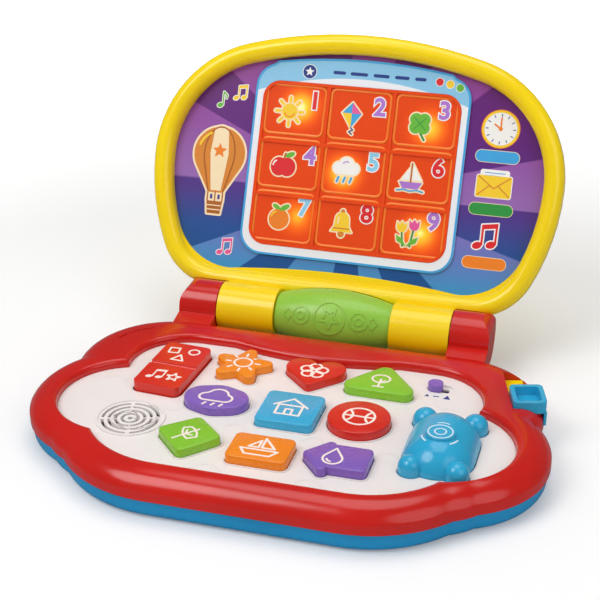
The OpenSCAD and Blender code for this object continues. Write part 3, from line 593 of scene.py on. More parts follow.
@dataclass
class Mouldings:
    """The CAD nodes: each gets its finish, and rounded shading on its curved faces.

    Args:
        finishes: the nodes' names for each finish.
        crease: the sharpest turn that is shaded smooth, in degrees.
    """

    finishes: tuple[tuple[Finish, str], ...] = (
        (BLUE_ABS, "bottom_shell battery_door"),
        (RED_ABS, "top_housing"),
        (WHITE_ABS, "keyboard_panel"),
        (YELLOW_ABS, "label_deck lid_frame lid_back"),
        (ORANGE_KEY, "key_star key_rectangle"),
        (RED_KEY, "key_heart key_circle mode_rocker"),
        (GREEN_KEY, "key_triangle key_diamond"),
        (PURPLE_KEY, "key_oval key_arrow volume_knob"),
        (SKY_KEY, "key_square"),
        (SKY_SHELL, "mouse_button slider"),
        (GREEN_ROLLER, "roller"),
        (STEEL, "door_screw battery_contacts board_screws case_screws hinge_pins switch_body rocker_pin"),
        (STEEL, "lid_screws roller_axle"),
        (CELL, "batteries"),
        (BOARD, "main_board led_board"),
        (RUBBER, "switch_pads"),
        (SPEAKER, "speaker"),
        (BOX_WHITE, "light_box"),
        (LAMP, "leds"),
    )
    crease: float = 28.0

    def soft_tree(self) -> Tree:
        """Build the tree that joins loose triangles and shades them smooth up to the crease."""
        tree = bpy.data.node_groups.new("Rounded shading", "GeometryNodeTree")
        for way in ("INPUT", "OUTPUT"):
            tree.interface.new_socket("Geometry", in_out=way, socket_type="NodeSocketGeometry")
        shape = add_node(tree, "NodeGroupInput").outputs[0]
        near = {"Distance": 0.002 * MM}
        shape = add_node(tree, "GeometryNodeMergeByDistance", near, {"Geometry": shape}).outputs[0]
        smooth = {"domain": "FACE", "Shade Smooth": True}
        shape = add_node(tree, "GeometryNodeSetShadeSmooth", smooth, {0: shape}).outputs[0]
        angle = add_node(tree, "GeometryNodeInputMeshEdgeAngle").outputs[0]
        limit = {"operation": "GREATER_THAN", 1: math.radians(self.crease)}
        sharp = add_node(tree, "FunctionNodeCompare", limit, {0: angle}).outputs[0]
        edges = {"domain": "EDGE", "Shade Smooth": False}
        links = {0: shape, "Selection": sharp}
        shape = add_node(tree, "GeometryNodeSetShadeSmooth", edges, links).outputs[0]
        add_node(tree, "NodeGroupOutput", links={0: shape})
        return tree

    def build(self) -> None:
        """Round every CAD node's shading, and dress those that have a finish here."""
        tree = self.soft_tree()
        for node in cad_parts.values():
            node.modifiers.new("Rounded shading", "NODES").node_group = tree
        for finish, names in self.finishes:
            for name in names.split():
                paint(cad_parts[name], finish.make())
                log.info("%s dressed", name)


# ---- Lid art ----


@dataclass
class LidArt:
    """The lid's printed panel, its screen frame and the lit window.

    Args:
        ray_v: height of the point that the rays come from.
        rays: number of pairs of rays.
        head_v: lower edge of the header's colour.
        lamps: places of the lamps that shine, with their strengths.
    """

    ray_v: float = 78.0
    rays: int = 9
    head_v: float = 146.0
    lamps: tuple[tuple[float, float, float], ...] = (
        (-38.0, 128.0, 1.0),
        (44.0, 122.0, 0.8),
        (-6.0, 90.0, 1.0),
        (-32.0, 60.0, 0.6),
        (46.0, 58.0, 0.9),
    )

    def start(self, node: str, name: str, rough: float) -> tuple[Tree, Node, Socket]:
        """Give a CAD node a new material.

        Args:
            node: the node.
            name: the material's name.
            rough: its roughness.

        Returns:
            The material's tree, its shader and its point in the lid's directions.
        """
        material, tree, shader = new_material(name)
        paint(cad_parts[node], material)
        log.info("%s printed", node)
        return tree, feed(shader, {"Roughness": rough}), lid_point(tree)

    def mix(self, amount: Socket, low: Socket, high: Socket) -> Socket:
        """Mix two colours by an amount."""
        links = {0: amount, 6: low, 7: high}
        return add_node(amount.id_data, "ShaderNodeMix", {"data_type": "RGBA"}, links).outputs[2]

    def sky(self) -> None:
        """Print the sky: violet over blue, with broad rays from behind the window."""
        tree, shader, point = self.start("art_panel", "Card printed rays", 0.3)
        u, v, _ = add_node(tree, "ShaderNodeSeparateXYZ", links={0: point}).outputs
        bearing = math_node(tree, "ARCTAN2", math_node(tree, "SUBTRACT", v, self.ray_v * MM), u)
        # some rays are broader than others, and all have crisp sides
        sway = times(math_node(tree, "SINE", times(bearing, 5.0)), 0.7)
        wave = math_node(tree, "SINE", math_node(tree, "ADD", times(bearing, float(self.rays)), sway))
        mask = math_node(tree, "MULTIPLY_ADD", wave, 14.0, clamp=True)
        mask.node.inputs[2].default_value = 0.5
        # the colours change over the lid's 165 mm
        up = times(v, 1 / (165 * MM))
        places = (0.12, 0.3, 0.45, 0.7, 1.0)
        dark = ramp_node(up, list(zip(places, ("#14559a", "#24549e", "#55378f", "#652380", "#6f2079"))))
        light = ramp_node(up, list(zip(places, ("#2a9ad8", "#6f7cc6", "#9a70ba", "#9650a8", "#98429c"))))
        feed(shader, links={"Base Color": self.mix(mask, dark, light)})

    def band(self) -> None:
        """Print the screen frame: white, with a pale blue header under a bowed line."""
        tree, shader, point = self.start("screen_frame", "Card printed screen frame", 0.3)
        u, v, _ = add_node(tree, "ShaderNodeSeparateXYZ", links={0: point}).outputs
        # the header's line bows down to both sides, and its step is a third of a millimetre
        line = math_node(tree, "ADD", v, times(times(u, u), 2.6))
        step = times(math_node(tree, "SUBTRACT", line, (self.head_v + 2) * MM), 3000.0, clamp=True)
        feed(shader, links={"Base Color": ramp_node(step, [(0.0, "#f3f6fb"), (1.0, "#8fcdf0")])})

    def glow(self, tree: Tree, point: Socket) -> Socket:
        """Give the light of the nearest lamp, falling off over 19 mm.

        Args:
            tree: the window's tree.
            point: its point in the lid's directions.

        Returns:
            The socket of the light.
        """
        glow = None
        for u, v, strength in self.lamps:
            ends = {"operation": "DISTANCE", 1: (u * MM, v * MM, -0.013)}
            gap = add_node(tree, "ShaderNodeVectorMath", ends, {0: point}).outputs["Value"]
            fall = math_node(tree, "SUBTRACT", 1.0, times(gap, 1 / (19 * MM)), clamp=True)
            part = times(math_node(tree, "POWER", fall, 1.6), strength)
            glow = part if glow is None else math_node(tree, "MAXIMUM", glow, part)
        return glow

    def window(self) -> None:
        """Tint the window: orange-red acrylic that the lamps shine through."""
        tree, shader, point = self.start("window", "Acrylic moulded orange window", 0.18)
        glow = self.glow(tree, point)
        bands = {"Scale": 260.0, "Distortion": 0.6, "bands_direction": "X"}
        grain = add_node(tree, "ShaderNodeTexWave", bands, {"Vector": point}).outputs["Fac"]
        shade = ramp_node(grain, [(0.0, "#ee4610"), (1.0, "#f55212")])
        warm = ramp_node(glow, [(0.0, "#f24c12"), (0.3, "#fa7e16"), (0.7, "#ffb92e"), (1.0, "#fff0a8")])
        tone = self.mix(times(glow, 2.2, clamp=True), shade, warm)
        # the window's own light is three quarters of its lamps'
        shine = {"Emission Color": tone, "Emission Strength": times(glow, 0.75)}
        feed(shader, {"Coat Weight": 0.3}, {"Base Color": tone, **shine})

    def build(self) -> None:
        """Dress the lid's printed nodes."""
        self.sky()
        self.band()
        self.window()


# ---- Printed pictures ----

Layers = list[tuple[Ink, list[Points]]]


def sun() -> Layers:
    """Draw a sun with eight rays."""
    rays = lines([[polar(6.1, a), polar(8.6, a)] for a in range(0, 360, 45)], 1.7)
    return [(YELLOW_INK, [disc(0, 0, 4.9)] + rays), (ORANGE_INK, lines([arc(0, 0, 3.2, 200, 340, 8)], 0.7))]


def kite() -> Layers:
    """Draw a kite in four fields with a tail."""
    tail = lines([[(0, -6.5), (1.6, -8), (-0.8, -9.2), (1.2, -10.6)]], 0.8)
    blue = [[(0, 8.6), (-6, 2), (0, 2)], [(0, 2), (6, 2), (0, -6.8)]]
    pink, yellow = [[(0, 8.6), (0, 2), (6, 2)]], [[(0, 2), (0, -6.8), (-6, 2)]]
    return [(NAVY_INK, tail), (SKY_INK, blue), (PINK_INK, pink), (YELLOW_INK, yellow)]


def clover() -> Layers:
    """Draw a four-leaved clover."""
    leaves = placed([disc(*polar(3.5, a), 3.7) for a in range(45, 360, 90)], 0, 1)
    veins = [[(-3.6, 4.6), (0, 1), (3.6, 4.6)], [(-3.6, -2.6), (0, 1), (3.6, -2.6)]]
    stalk = lines([[(0, 0), (1, -5), (3.4, -8.6)]], 1.3)
    return [(LEAF_INK, stalk), (GREEN_INK, leaves), (LEAF_INK, lines(veins, 0.5))]


def apple() -> Layers:
    """Draw an apple with a leaf."""
    return [
        (BROWN_INK, lines([[(0, 3), (0.8, 7)]], 1.2)),
        (RED_INK, [disc(-2.6, -1, 5.2, 1.1), disc(2.6, -1, 5.2, 1.1)]),
        (GREEN_INK, placed([disc(0, 0, 3, 0.5)], 3.8, 6.6, 1, 25)),
        (WHITE_INK, lines([arc(-3, -0.5, 3.4, 120, 175, 6)], 0.9)),
    ]


def cloud() -> Layers:
    """Draw a pale cloud over drops."""
    puffs = [disc(-4.4, 1.6, 3.6), disc(0.2, 3.6, 4.6), disc(4.8, 1.5, 3.5)]
    puffs += [rounded_box(0, 0, 14, 4.4, 2.1)]
    drops = lines([[(x, -4), (x - 0.9, -6.8)] for x in (-4, 0, 4)], 1.3)
    return [(WHITE_INK, puffs), (SKY_INK, drops), (LILAC_INK, lines([arc(0.2, 3.2, 2.4, 60, 150, 6)], 0.6))]


def boat() -> Layers:
    """Draw a sailing boat."""
    sails = [[(0.8, 7.6), (0.8, -1.8), (6.6, -1.8)], [(-0.8, 5.6), (-5.6, -1.8), (-0.8, -1.8)]]
    sea = [[(-8, -8.4), (-4, -7.6), (0, -8.4), (4, -7.6), (8, -8.4)]]
    return [
        (LILAC_INK, [[(-7, -3), (7, -3), (4.8, -7), (-4.8, -7)]]),
        (BROWN_INK, lines([[(0, -3), (0, 8)]], 0.9)),
        (WHITE_INK, sails),
        (SKY_INK, lines(sea, 0.9)),
    ]


def orange() -> Layers:
    """Draw an orange and its leaves."""
    leaves = placed([disc(0, 0, 3.4, 0.45)], 3, 6.3, 1, 30)
    leaves += placed([disc(0, 0, 2.6, 0.5)], -2.2, 6.4, 1, 150)
    pips = [disc(2.2 * math.cos(a) - 1, 2.4 * math.sin(a) - 1.6, 0.42) for a in range(6)]
    shine = lines([arc(-0.4, -0.8, 4.6, 115, 165, 6)], 0.9)
    return [(ORANGE_INK, [disc(0, -1, 6.3)]), (GREEN_INK, leaves), (AMBER_INK, pips), (YELLOW_INK, shine)]


def bell() -> Layers:
    """Draw a bell."""
    left = [(-6.6, -4.6), (-4.6, -1.6), (-4.2, 3)]
    body = left + arc(0, 3, 4.2, 180, 0, 10)[1:-1] + [(-x, y) for x, y in left[::-1]]
    return [
        (AMBER_INK, [disc(0, -6, 2), disc(0, 7.8, 1.3)]),
        (YELLOW_INK, [body]),
        (AMBER_INK, lines([[(-4.9, -2.6), (4.9, -2.6)]], 0.8)),
        (CREAM_INK, lines([[(-2.2, 4), (-2.6, 0.4)]], 0.9)),
    ]


def tulips() -> Layers:
    """Draw two tulips."""
    layers: Layers = []
    for x, y, ink in ((-3.6, 2.4, YELLOW_INK), (3.8, 4, PINK_INK)):
        layers.append((LEAF_INK, lines([[(x, y), (x * 0.6, -8)]], 1.1)))
        cup = [(x - 3, y + 4), (x - 1.5, y + 2.2), (x, y + 4.4), (x + 1.5, y + 2.2), (x + 3, y + 4)]
        layers.append((ink, [cup + arc(x, y + 0.8, 3, 0, -180, 10)]))
    left = [(0, -8), (-5.8, -5.2), (-6.6, -1.6), (-3, -3.6)]
    right = [(0, -8), (3, -3.8), (6.8, -2), (5.8, -5.6)]
    return layers + [(GREEN_INK, [left, right])]


def balloon() -> Layers:
    """Draw a hot-air balloon with its basket."""
    seams = [
        [(s * 4.6, -21)] + [(s * 9 / 15 * x, y) for x, y in arc(0, 0, 15, -28, 90, 12)] for s in (-1, 1)
    ]
    ropes = lines([[(x, -22), (x, -27)] for x in (-4.4, 4.4, 0)], 0.7)
    return [
        (AMBER_INK, [arc(0, 0, 15, -35, 215, 36) + [(-4.4, -22), (4.4, -22)]]),
        (BROWN_INK, ropes + [[(-4.6, -27), (4.6, -27), (3.8, -34), (-3.8, -34)]]),
        (CREAM_INK, [[(-4, 14.4), (4, 14.4), (5.4, 0), (3, -21), (-3, -21), (-5.4, 0)]]),
        (BROWN_INK, lines(seams, 0.8)),
        (ORANGE_INK, [star(0, 1.6, 4.4)]),
        (CREAM_INK, lines([[(-3.9, -29.4), (3.9, -29.4)], [(-3.7, -31.8), (3.7, -31.8)]], 0.6)),
        (YELLOW_INK, lines([arc(0, 0, 12.6, 118, 160, 8)], 1.3)),
    ]


def note(ink: Ink, double: bool = True) -> Layers:
    """Draw a note, single or in a pair under one bar.

    Args:
        ink: its colour.
        double: two heads.

    Returns:
        The layers.
    """
    xs = (-3.6, 3.4) if double else (-1.4,)
    heads = [o for x in xs for o in placed([disc(0, 0, 2.5, 0.72)], x, -4.6 + 0.12 * x, 1, 20)]
    if double:
        stems = [[(-1.4, -4.4), (-1.4, 5)], [(5.6, -3.6), (5.6, 6.2)]]
        return [(ink, heads + lines(stems, 1.1) + [[(-2, 3.4), (6.2, 4.6), (6.2, 7), (-2, 5.8)]])]
    stems = [[(0.8, -4.4), (0.8, 6)], [(0.8, 6), (3.8, 3.4), (3.4, 1)]]
    return [(ink, heads + lines(stems, 1.1))]


@dataclass
class Picture:
    """A printed picture on the lid, with a pale edge.

    Args:
        name: the piece's name.
        layers: inks and shapes, lowest first, about the picture's middle.
        at: place on the lid, in millimetres.
        face: height of the face under it.
        size: scale of the drawing.
        edge: width of the pale edge, in millimetres.
        edge_ink: ink of the edge.
        sunk: how far each slab reaches under the face, and the lowest one above it.
        step: how much higher each slab's top is than the last.
    """

    name: str
    layers: Layers
    at: tuple[float, float]
    face: float = ART_FACE
    size: float = 1.0
    edge: float = 0.8
    edge_ink: Ink = WHITE_INK
    sunk: float = 0.1
    step: float = 0.05

    def build(self) -> None:
        """Print the picture, one thin slab for each ink."""
        sheets = [(ink, placed(shapes, *self.at, self.size)) for ink, shapes in self.layers]
        if self.edge:
            shapes = [shape for _, sheet in sheets for shape in sheet]
            rim = [o for shape in shapes for o in [shape] + stroke(shape, 2 * self.edge, True)]
            sheets.insert(0, (self.edge_ink, rim))
        for i, (ink, shapes) in enumerate(sheets):
            ends = (self.face - self.sunk, self.face + self.sunk + self.step * i)
            mesh = solid(shapes, lambda x, y, top: Vector((x, y, ends[top])))
            dress(finished(f"{self.name}_{i}", mesh, LID), ink, "lid", "printed_card")


def plain_mesh(piece: Piece) -> bpy.types.Mesh:
    """Return what an object evaluates to, as a plain mesh."""
    graph = bpy.context.evaluated_depsgraph_get()
    return bpy.data.meshes.new_from_object(piece.evaluated_get(graph))


@dataclass
class Digit:
    """A printed figure with a pale edge.

    Args:
        text: the figure.
        at: its middle on the lid.
        ink: its colour.
        height: size of the type, in millimetres.
        face: height of the face under it.
        edge: how far the pale edge reaches out, over the type's size.
        bold: how far the figure itself is thickened, over the type's size.
        thick: thickness of the pale edge and of the figure, in millimetres.
        sunk: how far both reach under the face, in millimetres.
    """

    text: str
    at: tuple[float, float]
    ink: Ink
    height: float = 15.0
    face: float = WINDOW_FACE
    edge: float = 0.05
    bold: float = 0.03
    thick: tuple[float, float] = (0.22, 0.34)
    sunk: float = 0.05

    def sheet(self, name: str, ink: Ink, grow: float, thick: float) -> None:
        """Build one layer of the figure.

        Args:
            name: the piece's name.
            ink: its ink.
            grow: how far its outline is pushed out, over the type's size.
            thick: its thickness, in millimetres.
        """
        curve = bpy.data.curves.new(name, "FONT")
        curve.body, curve.size, curve.align_x, curve.align_y = self.text, self.height, "CENTER", "CENTER"
        curve.offset, curve.extrude, curve.resolution_u = grow * self.height, thick / 2, 6
        piece = link(curve, name)
        data = plain_mesh(piece)
        bpy.data.objects.remove(piece)
        mesh = bmesh.new()
        mesh.from_mesh(data)
        bpy.data.meshes.remove(data)
        mesh.transform(Matrix.Translation((*self.at, self.face + thick / 2 - self.sunk)))
        dress(finished(name, mesh, LID), ink, "lid", "printed_card")

    def build(self) -> None:
        """Build the pale edge and the figure."""
        self.sheet(f"figure_{self.text}_edge", WHITE_INK, self.bold + self.edge, self.thick[0])
        self.sheet(f"figure_{self.text}", self.ink, self.bold, self.thick[1])


@dataclass
class WindowCells:
    """Raised rounded frames round the window's nine cells, set out by a node tree.

    Args:
        sizes: the tree's inputs: distances between the cells' middles, a cell's outside, the radius
            of its corners and half the width of its raised edge.
        middle: height of the middle cell on the lid.
        flat: height of the raised edge over its width.
    """

    sizes: dict[str, float] = field(
        default_factory=lambda: {
            "Pitch Across": 41.4,
            "Pitch Up": 33.4,
            "Width": 37.6,
            "Height": 30.2,
            "Corner": 3.5,
            "Thickness": 0.9,
        }
    )
    middle: float = 92.5
    flat: float = 0.7

    def tree(self) -> Tree:
        """Build the tree: a grid of points, with a swept rounded frame on each."""
        tree = bpy.data.node_groups.new("Cell frames", "GeometryNodeTree")
        for name in self.sizes:
            tree.interface.new_socket(name, in_out="INPUT", socket_type="NodeSocketFloat")
        tree.interface.new_socket("Finish", in_out="INPUT", socket_type="NodeSocketMaterial")
        tree.interface.new_socket("Geometry", in_out="OUTPUT", socket_type="NodeSocketGeometry")
        given = add_node(tree, "NodeGroupInput").outputs

        def step(kind: str, values: dict, **links: Socket) -> Socket:
            """Add a geometry node and return its first output; _ in a link's name stands for a blank."""
            links = {key.replace("_", " "): socket for key, socket in links.items()}
            return add_node(tree, f"GeometryNode{kind}", values, links).outputs[0]

        spans = {"Size_X": times(given["Pitch Across"], 2.0), "Size_Y": times(given["Pitch Up"], 2.0)}
        grid = step("MeshGrid", {"Vertices X": 3, "Vertices Y": 3}, **spans)
        box = step("CurvePrimitiveQuadrilateral", {}, Width=given["Width"], Height=given["Height"])
        soft = step("FilletCurve", {"mode": "POLY", "Count": 6}, Curve=box, Radius=given["Corner"])
        ring = step("CurvePrimitiveCircle", {"Resolution": 10}, Radius=given["Thickness"])
        sweep = step("CurveToMesh", {}, Curve=soft, Profile_Curve=ring)
        shape = step("InstanceOnPoints", {}, Points=grid, Instance=sweep)
        shape = step("RealizeInstances", {}, Geometry=shape)
        shape = step("SetShadeSmooth", {"Shade Smooth": True}, Geometry=shape)
        shape = step("SetMaterial", {}, Geometry=shape, Material=given["Finish"])
        add_node(tree, "NodeGroupOutput", links={0: shape})
        return tree

    def build(self) -> None:
        """Run the tree, keep its result as a plain mesh and lay it on the window."""
        cells = link(bpy.data.meshes.new("cell_frames"), "cell_frames")
        modifier = cells.modifiers.new("Cell frames", "NODES")
        modifier.node_group = self.tree()
        values = {**self.sizes, "Finish": CELL_EDGE.make()}
        for item in modifier.node_group.interface.items_tree:
            if item.name in values:
                modifier[item.identifier] = values[item.name]
        data = plain_mesh(cells)
        cells.modifiers.remove(modifier)
        flat = Matrix.Diagonal((1, 1, self.flat, 1))
        data.transform(LID.matrix() @ Matrix.Translation((0, self.middle, WINDOW_FACE)) @ flat)
        cells.data = data
        dress(cells, CELL_EDGE, "lid", "clear_orange")


@dataclass
class LidPrints:
    """Every printed picture, label and figure on the lid.

    Args:
        cells: each cell's picture and its place, and its figure's ink and place.
        labels: the bare labels' places and inks.
        dots: the header's dots.
        notes: the loose notes: ink, pair or single, place and size.
    """

    cells: tuple[tuple[Callable[[], Layers], float, float, Ink, float, float], ...] = (
        (sun, -44.8, 124.8, RED_INK, -29.3, 132.2),
        (kite, -5.0, 125.0, LILAC_INK, 12.2, 131.7),
        (clover, 38.0, 123.5, LILAC_INK, 52.4, 133.1),
        (apple, -45.0, 91.2, LILAC_INK, -28.5, 98.0),
        (cloud, -4.8, 91.4, PALE_INK, 12.0, 97.7),
        (boat, 36.4, 91.6, RED_INK, 52.5, 98.2),
        (orange, -44.0, 58.4, PALE_INK, -28.5, 65.7),
        (bell, -3.4, 58.4, RED_INK, 11.6, 65.7),
        (tulips, 38.0, 57.4, LILAC_INK, 53.3, 65.4),
    )
    labels: tuple[tuple[str, Ink, float, float], ...] = (
        ("sky", SKY_INK, 87.3, 108.9),
        ("green", LEAF_INK, 86.9, 76.9),
        ("orange", ORANGE_INK, 86.6, 44.3),
    )
    dots: tuple[tuple[str, Ink, float, float], ...] = (
        ("red", RED_INK, 47.4, 150.6),
        ("yellow", YELLOW_INK, 53.9, 149.7),
        ("green", GREEN_INK, 60.2, 148.0),
    )
    notes: tuple[tuple[str, Ink, bool, float, float, float], ...] = (
        ("green", GREEN_INK, False, -89.7, 128.8, 0.78),
        ("yellow", YELLOW_INK, True, -78.2, 134.0, 0.72),
        ("pink", PINK_INK, True, -77.7, 36.6, 0.8),
    )

    def window(self) -> None:
        """Print the nine cells."""
        for draw, u, v, *_ in self.cells:
            Picture(f"picture_{draw.__name__}", draw(), (u, v), WINDOW_FACE, 1.02, 0.9, CREAM_INK).build()
        for i, (*_, ink, u, v) in enumerate(self.cells):
            Digit(str(i + 1), (u, v), ink).build()

    def header(self) -> None:
        """Print the band over the window: a badge, a row of bars and three dots."""
        badge = [(NAVY_INK, [disc(0, 0, 4.2)]), (WHITE_INK, [star(0, 0, 3.0)])]
        Picture("header_badge", badge, (-34.5, 150.4), FRAME_FACE, edge=0.4).build()
        widths = ((-25, 8), (-12.5, 11), (1.5, 10), (14.5, 9), (26, 7))
        bars = [(NAVY_INK, [rounded_box(x, 0, w, 2.0, 0.95) for x, w in widths])]
        Picture("header_bars", bars, (9.5, 151.2), FRAME_FACE, edge=0.0).build()
        for name, ink, *at in self.dots:
            Picture(f"header_dot_{name}", [(ink, [disc(0, 0, 2.3)])], at, FRAME_FACE, edge=0.4).build()
        # right half of the frame's outline: its lower corner, its upper one and the bowed top
        rim = arc(53.8, 48.5, 13.4, -90, 0, 8) + arc(53.8, 140, 13.4, 0, 74, 6)
        rim += arc(0, -190, 349.4, 81, 90, 4)
        rim = stroke(rim + [(-x, y) for x, y in rim[::-1]], 1.3, True)
        Picture("screen_frame_rim", [(SKY_INK, rim)], (0, 0), FRAME_FACE, edge=0.0).build()

    def side(self) -> None:
        """Print the right side: a dial, an envelope, a pair of notes and their bare labels."""
        dial = [
            (YELLOW_INK, [disc(0, 0, 11.3)]),
            (WHITE_INK, [disc(0, 0, 9.9)]),
            (NAVY_INK, lines([[polar(7.6, a), polar(9.0, a)] for a in range(0, 360, 30)], 0.55)),
            (ORANGE_INK, lines([[(0, 0), (0, 6.6)], [(0, 0), (-3.8, 2.6)]], 1.0) + [disc(0, 0, 1.2)]),
        ]
        Picture("clock_dial", dial, (87.3, 125.7), edge=0.5, edge_ink=ORANGE_INK).build()
        folds = [[(-9.6, 5), (0, -2), (9.6, 5)], [(-9.6, -6.4), (-2.8, -0.4)], [(9.6, -6.4), (2.8, -0.4)]]
        letter = [
            (WHITE_INK, [rounded_box(0, 4.8, 16.6, 8, 0.8)]),
            (SKY_INK, lines([[(-6, 7.4), (6, 7.4)], [(-6, 5.6), (3, 5.6)]], 0.5)),
            (YELLOW_INK, [rounded_box(0, -0.8, 21, 13, 1)]),
            (AMBER_INK, lines(folds, 0.7)),
        ]
        Picture("letter", letter, (87.1, 91.6), edge=0.6).build()
        Picture("note_red", note(RED_INK), (85.4, 60.6), size=1.18).build()
        pill = [rounded_box(0, 0, 26.4, 7.0, 3.4)]
        for name, ink, *at in self.labels:
            Picture(f"label_{name}", [(ink, pill)], at, edge=0.35, edge_ink=CREAM_INK).build()

    def left(self) -> None:
        """Print the left side: a balloon and loose notes."""
        Picture("balloon", balloon(), (-87.6, 94.5), size=1.12, edge=1.3, edge_ink=CREAM_INK).build()
        for name, ink, double, u, v, size in self.notes:
            Picture(f"note_{name}", note(ink, double), (u, v), size=size, edge=0.5).build()

    def build(self) -> None:
        """Print everything on the lid."""
        self.window()
        self.header()
        self.side()
        self.left()


# ---- Base trim ----


@dataclass
class KeyMarks:
    """Pale line pictures on the nine keys and the rocker.

    Args:
        width: the lines' width, in millimetres.
        high: the ink's height, in millimetres.
        size: scale of the drawings.
        small: scale of those on the narrow keys.
    """

    width: float = 1.15
    high: float = 0.12
    size: float = 1.12
    small: dict[str, float] = field(
        default_factory=lambda: dict.fromkeys(("key_diamond", "key_arrow", "key_triangle"), 0.98)
    )

    def shapes(self) -> dict[str, tuple[float, float, list[Points], list[Points]]]:
        """Return each key's middle, its closed lines and its open lines."""
        rays = [[polar(6.6, a), polar(9, a)] for a in range(0, 360, 45)]
        petals = [disc(*polar(4.2, a), 3.0, n=16) for a in range(18, 360, 72)]
        puff = arc(-5, -1.4, 3.4, 100, 270, 8) + arc(5, -1.4, 3.4, -90, 80, 8)
        puff += arc(0.4, 1.6, 5, 20, 160, 10)
        rain = [[(-3.4, -7), (-4.4, -9)], [(1, -7), (0, -9)], [(5.2, -7), (4.2, -9)]]
        walls = [[(-6, -7), (6, -7), (6, 1.6), (-6, 1.6)], [(-1.6, -7), (1.8, -7), (1.8, -2), (-1.6, -2)]]
        seams = [arc(-9.6, 0, 6.4, -42, 42, 8), arc(9.6, 0, 6.4, 138, 222, 8), [(-7.4, 0), (7.4, 0)]]
        leaf = arc(-6, -4, 11.5, 4, 60, 8) + arc(7.5, 3.6, 11.5, 176, 236, 8)
        veins = [[(-6.6, -7.4), (4.6, 4.8)], [(-1.4, -1.6), (2.6, -2)], [(-1.4, -1.6), (-1.4, 2.4)]]
        hull = [(-9, -2.6), (9, -2.6), (6, -7), (-6, -7)]
        sails = [[(0.8, 7.4), (0.8, -0.6), (7, -0.6)], [(-0.8, 5.4), (-0.8, -0.6), (-5.6, -0.6)]]
        trunk = [[(0, 3), (0, -6)], [(0, -0.6), (2.6, 1.6)], [(-3, -6), (3, -6)]]
        drop = [(0, 8)] + arc(0, -2, 5.2, 30, -210, 16)
        return {
            "key_star": (-37.2, 19.4, [disc(0, 0, 4.6, n=20)], rays),
            "key_heart": (4.6, 21.0, petals + [disc(0, 0, 1.7, n=14)], []),
            "key_triangle": (43.6, 19.0, [disc(0, 3.2, 5.2, 0.85, n=20)], trunk),
            "key_oval": (-39.4, -21.4, [puff], rain),
            "key_square": (3.0, -22.0, walls, [[(-8.4, 1), (0, 8), (8.4, 1)]]),
            "key_circle": (41.3, -21.2, [disc(0, 0, 7.6, n=24)], seams),
            "key_diamond": (-41.2, -61.8, [leaf], veins),
            "key_rectangle": (-0.5, -65.0, [hull] + sails, []),
            "key_arrow": (38.0, -63.6, [drop], [arc(0, -2, 3.1, 200, 260, 5)]),
        }

    def rocker(self) -> list[Points]:
        """Return the rocker's shapes about its middle."""
        box = [[(-3.4, -3.4), (3.4, -3.4), (3.4, 3.4), (-3.4, 3.4)]]
        tops = placed(box, -6.4, 16.4, 0.85, 8) + placed([disc(0, 0, 3.6, n=18)], 5.6, 17.6, 0.85)
        tops += placed([[(-3.8, -3), (3.8, -3), (0, 3.8)]], -0.4, 8.6, 0.95)
        low = placed(note(WHITE_INK)[0][1], -4.6, -12.6, 0.8)
        last = placed(lines([star(0, 0, 4.2)], self.width, True), 6.2, -13.4)
        return lines(tops, self.width, True) + low + last

    def build(self) -> None:
        """Lay the lines on the keys and the rocker."""
        for key, (x, y, closed, opened) in self.shapes().items():
            drawn = lines(closed, self.width, True) + lines(opened, self.width)
            drawn = placed(drawn, x, y, self.small.get(key, self.size))
            Relief(f"{key}_mark", key, KEY_INK, drawn, self.high, key).build()
        drawn = placed(self.rocker(), -75, 5.5, 1, -4)
        Relief("mode_rocker_mark", "mode_rocker", KEY_INK, drawn, self.high, "mode_rocker").build()


